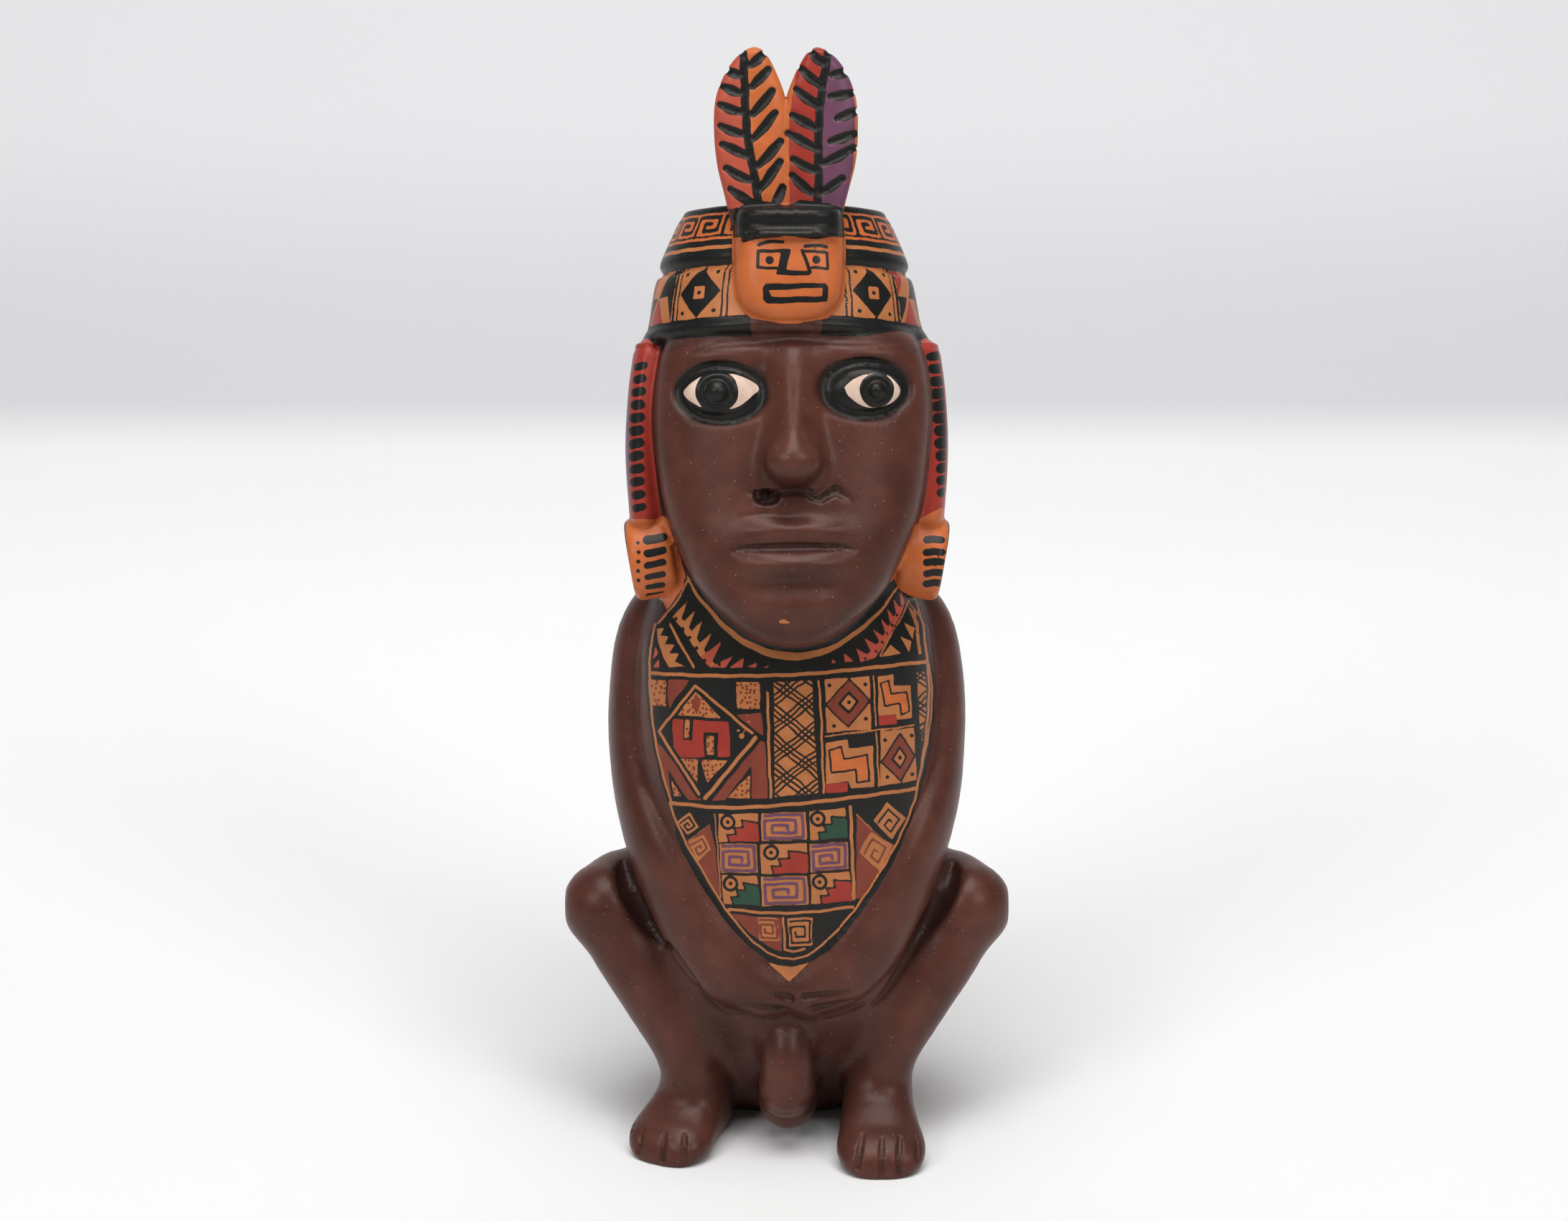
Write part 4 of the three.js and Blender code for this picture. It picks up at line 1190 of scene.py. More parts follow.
@dataclass(frozen=True)
class Layout:
    """How a pattern's own units lie on its sheet: across and down from a corner, or up from it."""

    left: float
    top: float
    across: float
    down: float

    @staticmethod
    def window(left: float, top: float, scale: float) -> "Layout":
        """A window of the front view, with its corner in view pixels and its units in pixels each."""
        size = VIEW.focal_pixels / VIEW.distance
        return Layout((left - VIEW.middle[0]) / size, (VIEW.middle[1] - top) / size, scale / size, -scale / size)

    def place(self, points: Sequence[Sequence[float]]) -> Array:
        """Points of the pattern in the sheet's millimetres."""
        return np.asarray(points, float) * (self.across, self.down) + (self.left, self.top)

    def length(self, size: float) -> float:
        """A width of the pattern in the sheet's millimetres."""
        return size * self.across


ROUND_HAT = Layout(0.0, 0.0, 1.0, 1.0)


class Canvas:
    """The paint on every vertex: for each colour, how far inside its nearest patch the vertex lies."""

    def __init__(self, count: int) -> None:
        self.fields = np.full((len(Paint) + len(Fine), count), -MARGIN)

    def sheet(self, layout: Layout, where: Array, uv: Array, within: Array | None = None) -> "Sheet":
        """A flat sheet over some of the vertices.

        Args:
            layout: the units in which patterns are given.
            where: which vertices the sheet covers.
            uv: every vertex's place on the sheet, in millimetres.
            within: how far each vertex lies inside the part that may be painted.
        """
        rows = np.flatnonzero(where)
        return Sheet(self, layout, rows, wobble(uv[rows]), None if within is None else within[rows])


def wobble(uv: Array) -> Array:
    """Shifts places on a sheet by slow waves of about a tenth of a millimetre, as a brush wanders."""
    u, v = uv.T
    across = 0.06 * np.sin(1.1 * v + 0.5 * u + 1.0) + 0.02 * np.sin(2.9 * v - 0.9 * u)
    up = 0.06 * np.sin(1.0 * u - 0.4 * v + 2.0) + 0.02 * np.sin(2.7 * u + 1.1 * v)
    return uv + np.column_stack([across, up])


@dataclass
class Sheet:
    """Part of the figure's skin, laid flat to be painted."""

    canvas: Canvas
    layout: Layout
    rows: Array
    uv: Array
    within: Array | None

    def near(self, points: Array, reach: float) -> Array:
        """The sheet's vertices within reach of a shape's box."""
        low = points.min(axis=0) - reach
        high = points.max(axis=0) + reach
        return np.flatnonzero(np.all((self.uv > low) & (self.uv < high), axis=1))

    def lay(self, layer: "Paint | Fine", near: Array, shape: Array) -> None:
        """Lays a patch of paint: its own field grows, and every other field gives way to it."""
        if self.within is not None:
            shape = np.minimum(shape, self.within[near])
        shape = np.clip(shape, -MARGIN, MARGIN)
        rows = self.rows[near]
        fields = self.canvas.fields
        own = np.maximum(fields[layer.value, rows], shape)
        if isinstance(layer, Paint):
            fields[:, rows] = np.minimum(fields[:, rows], -shape)
        fields[layer.value, rows] = own

    def fill(self, layer: "Paint | Fine", corners: Sequence[Sequence[float]]) -> None:
        """Paints the inside of an outline given by its corners."""
        self.fill_flat(layer, self.layout.place(corners))

    def fill_flat(self, layer: "Paint | Fine", points: Array) -> None:
        """Paints the inside of an outline given in the sheet's millimetres.

        The distance is that to the nearest side; a place is inside when a line from it to the
        right crosses the outline an odd number of times.
        """
        near = self.near(points, MARGIN)
        u, v = self.uv[near].T
        nearest = np.full(len(near), MARGIN)
        inside = np.zeros(len(near), bool)
        for (x0, y0), (x1, y1) in zip(points, np.roll(points, -1, axis=0)):
            nearest = np.minimum(nearest, to_segment(u, v, (x0, y0), (x1, y1))[0])
            if y0 != y1:
                crosses = ((v < y0) != (v < y1)) & (u < x0 + (v - y0) * (x1 - x0) / (y1 - y0))
                inside ^= crosses
        self.lay(layer, near, np.where(inside, nearest, -nearest))

    def draw(self, layer: "Paint | Fine", path: Sequence[Sequence[float]], width: float = 0.0) -> None:
        """Paints a line along a path, whose places may each hold their own width as a third value.

        A line of half width w has the field (w^2 - d^2) / (2 w) at a distance d from its middle,
        which stays smooth in the middle, so thin lines keep their width on the mesh.
        """
        table = np.asarray(path, float)
        points = self.layout.place(table[:, :2])
        half = self.layout.length(table[:, 2] if table.shape[1] > 2 else np.full(len(table), width)) / 2
        near = self.near(points, MARGIN)
        u, v = self.uv[near].T
        shape = np.full(len(near), -MARGIN)
        for k in range(len(points) - 1):
            distance, t = to_segment(u, v, points[k], points[k + 1])
            w = half[k] + t * (half[k + 1] - half[k])
            shape = np.maximum(shape, (w * w - distance * distance) / (2 * w))
        self.lay(layer, near, shape)

    def bare(self, corners: Sequence[Sequence[float]]) -> None:
        """Leaves the inside of an outline unpainted."""
        points = self.layout.place(corners)
        low, high = points.min(axis=0), points.max(axis=0)
        near = self.near(points, MARGIN)
        shape = np.min(np.hstack([self.uv[near] - low, high - self.uv[near]]), axis=1)
        rows = self.rows[near]
        self.canvas.fields[:, rows] = np.minimum(self.canvas.fields[:, rows], -np.clip(shape, -MARGIN, MARGIN))

    def curve(self, layer: "Paint | Fine", path: Sequence[Sequence[float]], width: float = 0.0) -> None:
        """Paints a line along a smooth curve through a few places."""
        self.draw(layer, smooth_path(path), width)

    def dot(self, layer: "Paint | Fine", centre: Sequence[float], radius: float) -> None:
        """Paints a round dot."""
        points = self.layout.place([centre])
        size = self.layout.length(radius)
        near = self.near(points, size + MARGIN)
        distance = np.hypot(*(self.uv[near] - points[0]).T)
        self.lay(layer, near, size - distance)

    def outlined(self, layer: Paint, corners: Sequence[Sequence[float]], width: float) -> None:
        """Paints an outline's inside and a black line round it."""
        self.fill(layer, corners)
        self.draw(Paint.BLACK, [*corners, corners[0]], width)

    def cell(self, corners: Sequence[Sequence[float]], inner: Sequence[Sequence[float]]) -> Array:
        """Points of a unit square, spread over a four-cornered cell from its top left, clockwise."""
        a, b, c, d = np.asarray(corners, float)
        s, t = np.asarray(inner, float).T[:, :, None]
        return (a * (1 - s) + b * s) * (1 - t) + (d * (1 - s) + c * s) * t


def to_segment(u: Array, v: Array, start: Sequence[float], end: Sequence[float]) -> tuple[Array, Array]:
    """How far places lie from a straight piece of line, and how far along it they lie as a part."""
    dx, dy = end[0] - start[0], end[1] - start[1]
    t = np.clip(((u - start[0]) * dx + (v - start[1]) * dy) / max(dx * dx + dy * dy, 1e-12), 0.0, 1.0)
    return np.hypot(u - start[0] - t * dx, v - start[1] - t * dy), t


def smooth_path(path: Sequence[Sequence[float]], steps: int = 6) -> Array:
    """A path made smooth: a cubic curve through its places, in short straight pieces."""
    table = np.asarray(path, float)
    curve = Curve(np.column_stack([np.arange(len(table)), table]))
    return curve(np.linspace(0, len(table) - 1, steps * (len(table) - 1) + 1))


SQUARE_SPIRAL = (
    (0.11, 0.12),
    (0.89, 0.12),
    (0.89, 0.88),
    (0.11, 0.88),
    (0.11, 0.32),
    (0.7, 0.32),
    (0.7, 0.68),
    (0.3, 0.68),
    (0.3, 0.5),
    (0.55, 0.5),
)
SHORT_SPIRAL = ((0.2, 0.9), (0.2, 0.2), (0.8, 0.2), (0.8, 0.8), (0.45, 0.8), (0.45, 0.48), (0.6, 0.48))
DENSE_SPIRAL = (
    (0.08, 0.09),
    (0.92, 0.09),
    (0.92, 0.91),
    (0.08, 0.91),
    (0.08, 0.27),
    (0.76, 0.27),
    (0.76, 0.73),
    (0.25, 0.73),
    (0.25, 0.46),
    (0.58, 0.46),
    (0.58, 0.58),
)
BIRD_STEPS = ((0.26, 1.0), (0.22, 0.74), (0.44, 0.74), (0.38, 0.5), (0.62, 0.5), (0.58, 0.24), (1.0, 0.34), (1.0, 1.0))


class Bib:
    """The painted bib: a collar of teeth, a band of squares, a field of birds and a pointed tip."""

    TOP = ("window", 860, 780, 0.306)
    LOW = ("window", 900, 1100, 0.2423)
    OUTLINE_LEFT = (
        (318, 75), (300, 125), (250, 195), (205, 262), (165, 292), (140, 340), (127, 430), (125, 520), (132, 640),
        (146, 760), (166, 870), (190, 980), (222, 1090), (262, 1200),
    )
    OUTLINE_LOW = (
        (165, 250), (215, 370), (280, 490), (350, 600), (430, 720), (520, 830), (600, 910), (690, 985), (760, 1010),
        (830, 1018), (900, 1003), (960, 985), (1060, 920), (1150, 820), (1250, 690), (1340, 560), (1430, 400),
        (1500, 240),
    )
    OUTLINE_RIGHT = (
        (1375, 1075), (1395, 1000), (1415, 900), (1430, 800), (1441, 700), (1445, 600), (1440, 530), (1425, 430),
        (1412, 350), (1395, 260), (1375, 200), (1345, 110), (1318, 20),
    )
    OUTLINE_CHIN = (
        (1310, 0), (1280, 55), (1220, 130), (1150, 205), (1080, 270), (1000, 325), (920, 362), (830, 378), (740, 372),
        (660, 350), (580, 305), (500, 245), (430, 175), (370, 105), (335, 50),
    )
    BORDER_LEFT = (
        (172, 290), (150, 400), (145, 520), (151, 640), (165, 780), (190, 910), (222, 1030), (246, 1110), (275, 1190),
    )
    BORDER_LOW = (
        (138, 80), (178, 200), (235, 318), (300, 430), (370, 545), (450, 680), (530, 780), (620, 880), (700, 938),
        (780, 970), (850, 975), (930, 952), (1020, 888), (1100, 808), (1200, 688), (1290, 560), (1380, 420),
        (1450, 290), (1500, 180), (1545, 60),
    )
    BORDER_RIGHT = (
        (1354, 1093), (1380, 960), (1402, 820), (1414, 700), (1420, 600), (1414, 500), (1404, 400), (1392, 300),
        (1372, 225),
    )
    BORDER_OUTER = ((1404, 430), (1424, 510), (1432, 600), (1428, 700), (1413, 810), (1396, 900), (1377, 990))
    COLLAR_LINE = (
        (318, 78, 10), (335, 112, 13), (372, 172, 17), (430, 240, 20), (470, 288, 22), (520, 332, 25),
        (580, 375, 28), (640, 404, 32), (700, 425, 36), (760, 437, 38), (830, 438, 36), (900, 428, 32),
        (960, 408, 28), (1030, 371, 24), (1100, 322, 21), (1150, 278, 18), (1200, 228, 16), (1250, 160, 13),
        (1290, 92, 11), (1312, 30, 9),
    )
    LEFT_STRIP = (
        (250, 262), (285, 300), (314, 345), (350, 398), (380, 440), (420, 492), (458, 492), (408, 428), (374, 380),
        (340, 328), (307, 282), (275, 240),
    )
    RIGHT_STRIP = (
        (1310, 195), (1294, 238), (1272, 282), (1251, 325), (1228, 365), (1206, 402), (1172, 448), (1106, 464),
        (1130, 436), (1178, 392), (1210, 347), (1234, 302), (1256, 260), (1278, 217), (1298, 182),
    )
    LEFT_TEETH = (
        ((318, 185), (250, 262), (282, 300)),
        ((358, 222), (285, 300), (312, 345)),
        ((390, 275), (314, 345), (346, 398)),
        ((432, 328), (350, 398), (378, 440)),
        ((474, 370), (380, 440), (420, 490)),
        ((524, 438), (420, 490), (492, 491)),
        ((574, 443), (508, 491), (570, 490)),
        ((633, 467), (585, 490), (630, 490)),
        ((690, 480), (655, 490), (690, 489)),
    )
    LEFT_TOOTH_DOTS = ((268, 268), (298, 312), (328, 354), (362, 402), (398, 456), (465, 476))
    SMALL_TEETH = (
        (180, 312), (212, 310), (197, 345), (234, 350), (216, 385), (262, 384), (234, 425), (280, 424), (260, 462),
        (310, 486), (236, 488), (206, 440), (186, 380),
    )
    RIGHT_BASES = ((1310, 195), (1294, 238), (1272, 282), (1251, 325), (1228, 365), (1206, 402), (1172, 448), (1106, 464))
    RIGHT_TIPS = ((1284, 128), (1256, 172), (1224, 218), (1199, 264), (1159, 310), (1122, 352), (1086, 402))
    FAR_TEETH = (
        ((1322, 205), (1362, 245), (1354, 300)),
        ((1300, 280), (1352, 310), (1346, 366)),
        ((1286, 345), (1340, 372), (1326, 424)),
        ((1242, 385), (1292, 425), (1204, 442)),
    )
    LINE_ONE = ((158, 516), (400, 527), (640, 527), (850, 520), (1100, 497), (1398, 464))
    LINE_TWO = ((240, 1106), (500, 1128), (800, 1112), (1100, 1078), (1355, 1042))
    LINE_THREE = ((475, 687), (640, 705), (800, 710), (1000, 699), (1185, 672))

    def __init__(self, canvas: Canvas, points: Array, uv: Array, form: "Form") -> None:
        inside = 5.0 - points[:, 1]
        jaw = (points[:, 2] > 96) & (points[:, 2] < 128)
        inside[jaw] = np.minimum(inside[jaw], 2.2 - form.trunk.distance(points[jaw]))
        front = (inside > -MARGIN) & (points[:, 2] < 128) & (points[:, 2] > 34)
        self.sheet = canvas.sheet(Layout.window(*self.TOP[1:]), front, uv, inside)
        self.top = self.sheet.layout
        self.low = Layout.window(*self.LOW[1:])

    def paint(self) -> None:
        """Paints the whole bib, from its ground to its edge."""
        sheet = self.sheet
        sheet.fill_flat(Paint.BLACK, self._joined(self.OUTLINE_LEFT, self.OUTLINE_LOW, self.OUTLINE_RIGHT, self.OUTLINE_CHIN))
        self.collar()
        self.stepped_diamond()
        self.lattice()
        self.four_squares()
        sheet.curve(Paint.OCHRE, self.LINE_TWO, 18)
        sheet.layout = self.low
        self.birds()
        self.side_squares()
        self.tip()
        sheet.layout = ROUND_HAT
        sheet.draw(Paint.OCHRE, self._joined(self.BORDER_LEFT[:-1], self.BORDER_LOW, self.BORDER_RIGHT, ()), 0.5)

    def _joined(self, left: Sequence, low: Sequence, right: Sequence, chin: Sequence) -> Array:
        """One outline from parts laid out in the two windows."""
        parts = [self.top.place(left), self.low.place(low), self.top.place(right)]
        if len(chin):
            parts.append(self.top.place(chin))
        return np.vstack(parts)

    def collar(self) -> None:
        """The line under the chin and the rows of teeth on both sides of it."""
        sheet = self.sheet
        sheet.fill(Paint.OCHRE, self.LEFT_STRIP)
        sheet.fill(Paint.ROSE, self.RIGHT_STRIP)
        for number, tooth in enumerate(self.LEFT_TEETH):
            sheet.fill(Paint.OCHRE if number < 4 else Paint.ROSE, tooth)
        for place in self.LEFT_TOOTH_DOTS:
            sheet.dot(Paint.BLACK, place, 8)
        sheet.draw(Paint.BLACK, ((222, 262), (372, 490)), 10)
        sheet.draw(Paint.OCHRE, ((236, 290), (346, 488)), 13)
        sheet.fill(Paint.OCHRE, self.SMALL_TEETH)
        for tooth in (((172, 392), (162, 455), (184, 428)), ((190, 452), (160, 492), (192, 490))):
            sheet.fill(Paint.ROSE, tooth)
        for tip, start, end in zip(self.RIGHT_TIPS, self.RIGHT_BASES[:-1], self.RIGHT_BASES[1:]):
            sheet.fill(Paint.ROSE, (tip, start, end))
            sheet.dot(Paint.BLACK, ((start[0] + end[0]) / 2 - 12, (start[1] + end[1]) / 2 - 8), 7)
        sheet.fill(Paint.ROSE, ((1032, 426), (1076, 462), (1034, 466)))
        sheet.fill(Paint.ROSE, ((980, 448), (996, 468), (974, 470)))
        for tooth in self.FAR_TEETH:
            sheet.fill(Paint.OCHRE, tooth)
        for path in (((1328, 185), (1292, 262), (1240, 350), (1196, 440)), ((1330, 195), (1372, 250), (1396, 300))):
            sheet.curve(Paint.OCHRE, path, 9)
        for shift in (0, 14, 28):
            sheet.draw(Paint.OCHRE, ((1352 + shift / 2, 250 + shift), (1372 + shift / 3, 428)), 6)
        sheet.curve(Paint.OCHRE, self.COLLAR_LINE)
        sheet.curve(Paint.OCHRE, ((322, 85), (288, 160), (248, 217), (184, 288)), 12)
        sheet.curve(Paint.OCHRE, ((1316, 20), (1336, 110), (1372, 222)), 8)
        sheet.curve(Paint.OCHRE, self.LINE_ONE, 18)
        sheet.curve(Paint.OCHRE, self.BORDER_OUTER, 8)

    def stepped_diamond(self) -> None:
        """The left panel: a diamond that holds a red meander, between maroon angles and speckled squares."""
        sheet = self.sheet
        sheet.fill(Paint.MAROON, ((230, 545), (330, 547), (258, 640), (236, 684), (228, 610)))
        for patch in (((153, 545), (221, 547), (221, 668), (156, 660)), ((538, 557), (649, 555), (649, 680), (545, 676))):
            self.speckled(patch)
        sheet.fill(Paint.MAROON, ((540, 703), (656, 697), (664, 800), (628, 778), (545, 716)))
        sheet.fill(Paint.MAROON, ((172, 826), (206, 852), (390, 1096), (250, 1092), (207, 1000), (183, 900)))
        sheet.fill(Paint.BLACK, ((230, 955), (322, 1094), (246, 1094)))
        sheet.fill(Paint.MAROON, ((655, 820), (672, 830), (686, 1086), (612, 1090), (610, 935), (488, 1096), (428, 1096)))
        self.speckled(((246, 1002), (294, 1074), (256, 1076)))
        self.speckled(((603, 974), (500, 1084), (604, 1086)))
        self.speckled(((353, 598), (272, 706), (476, 723)))
        sheet.fill(Paint.MAROON, ((355, 608), (337, 650), (362, 708), (380, 650)))
        sheet.fill(Paint.RED, ((250, 722), (508, 738), (515, 896), (255, 901)))
        sheet.fill(Paint.BLACK, ((301, 716), (344, 720), (342, 822), (299, 820)))
        self.speckled(((307, 726), (329, 728), (327, 814), (305, 812)))
        sheet.fill(Paint.BLACK, ((392, 784), (458, 788), (456, 902), (396, 902)))
        self.speckled(((407, 800), (440, 802), (439, 890), (405, 888)))
        self.speckled(((274, 905), (368, 906), (362, 1030)))
        self.speckled(((380, 911), (503, 911), (408, 1016)))
        for corners in (((632, 805), (353, 572), (188, 782), (372, 1068)),):
            sheet.draw(Paint.BLACK, corners, 36)
            sheet.draw(Paint.OCHRE, corners, 14)
        sheet.draw(Paint.BLACK, ((630, 812), (400, 1084)), 40)
        sheet.draw(Paint.OCHRE, ((630, 810), (400, 1084)), 19)
        for place, size in (((566, 802), 13), ((552, 776), 7), ((578, 782), 5), ((590, 708), 5), ((596, 738), 6)):
            sheet.dot(Paint.OCHRE, place, size)
        sheet.draw(Paint.OCHRE, ((682, 606), (688, 760), (690, 900), (700, 1080)), 14)

    def speckled(self, corners: Sequence[Sequence[float]]) -> None:
        """An ochre patch with small dark speckles."""
        self.sheet.fill(Paint.OCHRE, corners)
        self.sheet.fill(Fine.STIPPLE, corners)

    def lattice(self) -> None:
        """The cross-hatched column and the narrow strip at the right edge."""
        column = ((712, 556), (886, 548), (891, 690), (902, 860), (916, 1062), (716, 1080))
        strip = ((1362, 508), (1398, 508), (1408, 600), (1404, 700), (1386, 840), (1372, 700))
        for corners in (column, strip):
            self.sheet.fill(Paint.OCHRE, corners)
            self.sheet.fill(Fine.LATTICE, corners)
        self.sheet.draw(Paint.OCHRE, ((916, 548), (930, 750), (932, 900), (940, 1062)), 12)

    def four_squares(self) -> None:
        """Two squares with a maroon diamond and two with a stepped key, set crosswise."""
        sheet = self.sheet
        sheet.fill(Paint.OCHRE, ((944, 543), (1148, 530), (1156, 770), (951, 786)))
        sheet.fill(Paint.OCHRE, ((1198, 781), (1350, 765), (1363, 1002), (1196, 1031)))
        diamonds = (
            (((1055, 542), (1150, 642), (1052, 762), (948, 660)), (1053, 648), ((966, 572), (1127, 568), (985, 755), (1130, 722))),
            (((1286, 790), (1354, 890), (1291, 1008), (1202, 918)), (1285, 902), ((1220, 820), (1338, 800), (1228, 990), (1343, 975))),
        )
        for outer, middle, dots in diamonds:
            sheet.outlined(Paint.MAROON, outer, 9)
            for share, colour in ((0.5, Paint.BLACK), (0.35, Paint.OCHRE)):
                sheet.fill(colour, [(middle[0] + share * (x - middle[0]), middle[1] + share * (y - middle[1])) for x, y in outer])
            sheet.dot(Paint.BLACK, middle, 9)
            for place in dots:
                sheet.dot(Paint.BLACK, place, 9)
        sheet.fill(Paint.OCHRE, ((1186, 530), (1256, 520), (1260, 574), (1336, 570), (1341, 722), (1272, 726), (1188, 715)))
        sheet.outlined(Paint.ORANGE, ((1198, 562), (1236, 548), (1246, 612), (1318, 600), (1328, 690), (1294, 704), (1284, 652), (1218, 668)), 9)
        sheet.fill(Paint.RED, ((1188, 712), (1270, 702), (1273, 746), (1190, 756)))
        sheet.fill(Paint.OCHRE, ((948, 832), (1048, 818), (1054, 858), (1163, 846), (1170, 1032), (1064, 1042), (1052, 1006), (950, 1022)))
        sheet.outlined(Paint.ORANGE, ((962, 868), (1020, 852), (1030, 906), (1138, 888), (1146, 1006), (1092, 1016), (1084, 954), (976, 970)), 10)
        sheet.fill(Paint.RED, ((948, 1022), (1050, 1010), (1046, 1056), (950, 1062)))
        sheet.draw(Paint.OCHRE, ((948, 803), (1150, 779), (1352, 753)), 9)
        sheet.draw(Paint.OCHRE, ((1166, 526), (1176, 756)), 9)
        sheet.draw(Paint.OCHRE, ((1179, 790), (1190, 1032)), 9)

    CELLS = (
        (((415, 140), (643, 137), (648, 298), (417, 300)), ((660, 135), (918, 128), (925, 290), (662, 296)), ((938, 125), (1145, 105), (1160, 276), (942, 292))),
        (((420, 309), (636, 312), (642, 480), (430, 480)), ((655, 315), (925, 309), (932, 478), (660, 486)), ((940, 312), (1158, 298), (1166, 456), (945, 476))),
        (((432, 491), (640, 497), (655, 666), (446, 656)), ((660, 501), (925, 493), (938, 662), (665, 671)), ((945, 487), (1168, 470), (1185, 640), (950, 660))),
    )
    BIRDS = ((Paint.RED, None, Paint.GREEN), (None, Paint.RED, None), (Paint.GREEN, None, Paint.RED))

    def birds(self) -> None:
        """Nine cells: stepped birds with ring eyes, and purple square spirals between them."""
        sheet = self.sheet
        for corners_row, birds in zip(self.CELLS, self.BIRDS):
            for corners, bird in zip(corners_row, birds):
                sheet.fill(Paint.OCHRE, corners)
                if bird is None:
                    sheet.draw(Paint.PURPLE, sheet.cell(corners, DENSE_SPIRAL), 18)
                    continue
                steps = sheet.cell(corners, BIRD_STEPS)
                sheet.fill(bird, steps)
                sheet.draw(Paint.BLACK, steps[:-1], 12)
                eye = sheet.cell(corners, ((0.23, 0.29),))[0]
                sheet.dot(Paint.BLACK, eye, 45)
                sheet.dot(Paint.OCHRE, eye, 29)
                sheet.dot(Paint.BLACK, eye, 11)
        sheet.draw(Paint.OCHRE, ((392, 140), (410, 330), (430, 622)), 9)
        sheet.draw(Paint.OCHRE, ((1175, 100), (1184, 350), (1196, 625)), 20)

    def side_squares(self) -> None:
        """Tilted squares with spirals beside the birds, the lower ones on maroon."""
        sheet = self.sheet
        sheet.fill(Paint.MAROON, ((368, 198), (398, 340), (424, 626), (340, 490), (232, 300)))
        sheet.fill(Paint.MAROON, ((1210, 140), (1300, 230), (1425, 325), (1345, 470), (1236, 626), (1207, 624)))
        sheet.draw(Paint.OCHRE, ((366, 202), (240, 292)), 8)
        sheet.draw(Paint.OCHRE, ((1210, 140), (1300, 235)), 10)
        squares = (
            (((250, 130), (305, 215), (235, 262), (178, 185)), Paint.BLACK),
            (((330, 258), (372, 345), (300, 416), (240, 295)), Paint.MAROON),
            (((1385, 70), (1492, 165), (1412, 290), (1308, 180)), Paint.BLACK),
            (((1290, 243), (1420, 320), (1342, 469), (1222, 362)), Paint.MAROON),
        )
        for corners, ground in squares:
            sheet.fill(Paint.OCHRE, corners)
            sheet.draw(ground, sheet.cell(corners, SHORT_SPIRAL), 12)

    def tip(self) -> None:
        """The bib's pointed end: two square spirals, one on maroon and one on black, and a small point."""
        sheet = self.sheet
        sheet.curve(Paint.OCHRE, self.LINE_THREE, 18)
        sheet.fill(Paint.MAROON, ((485, 714), (640, 730), (776, 738), (782, 932), (705, 903), (600, 828)))
        for corners, ground in (
            (((640, 732), (754, 738), (769, 871), (652, 871)), Paint.MAROON),
            (((812, 738), (956, 735), (956, 894), (822, 906)), Paint.BLACK),
        ):
            sheet.fill(Paint.OCHRE, corners)
            sheet.draw(ground, sheet.cell(corners, SQUARE_SPIRAL[:9]), 13)
        sheet.draw(Paint.OCHRE, ((788, 738), (799, 922), (850, 934), (910, 914)), 15)
        sheet.fill(Paint.OCHRE, ((640, 940), (700, 988), (760, 1012), (830, 1020), (905, 1002), (940, 990), (822, 1104)))


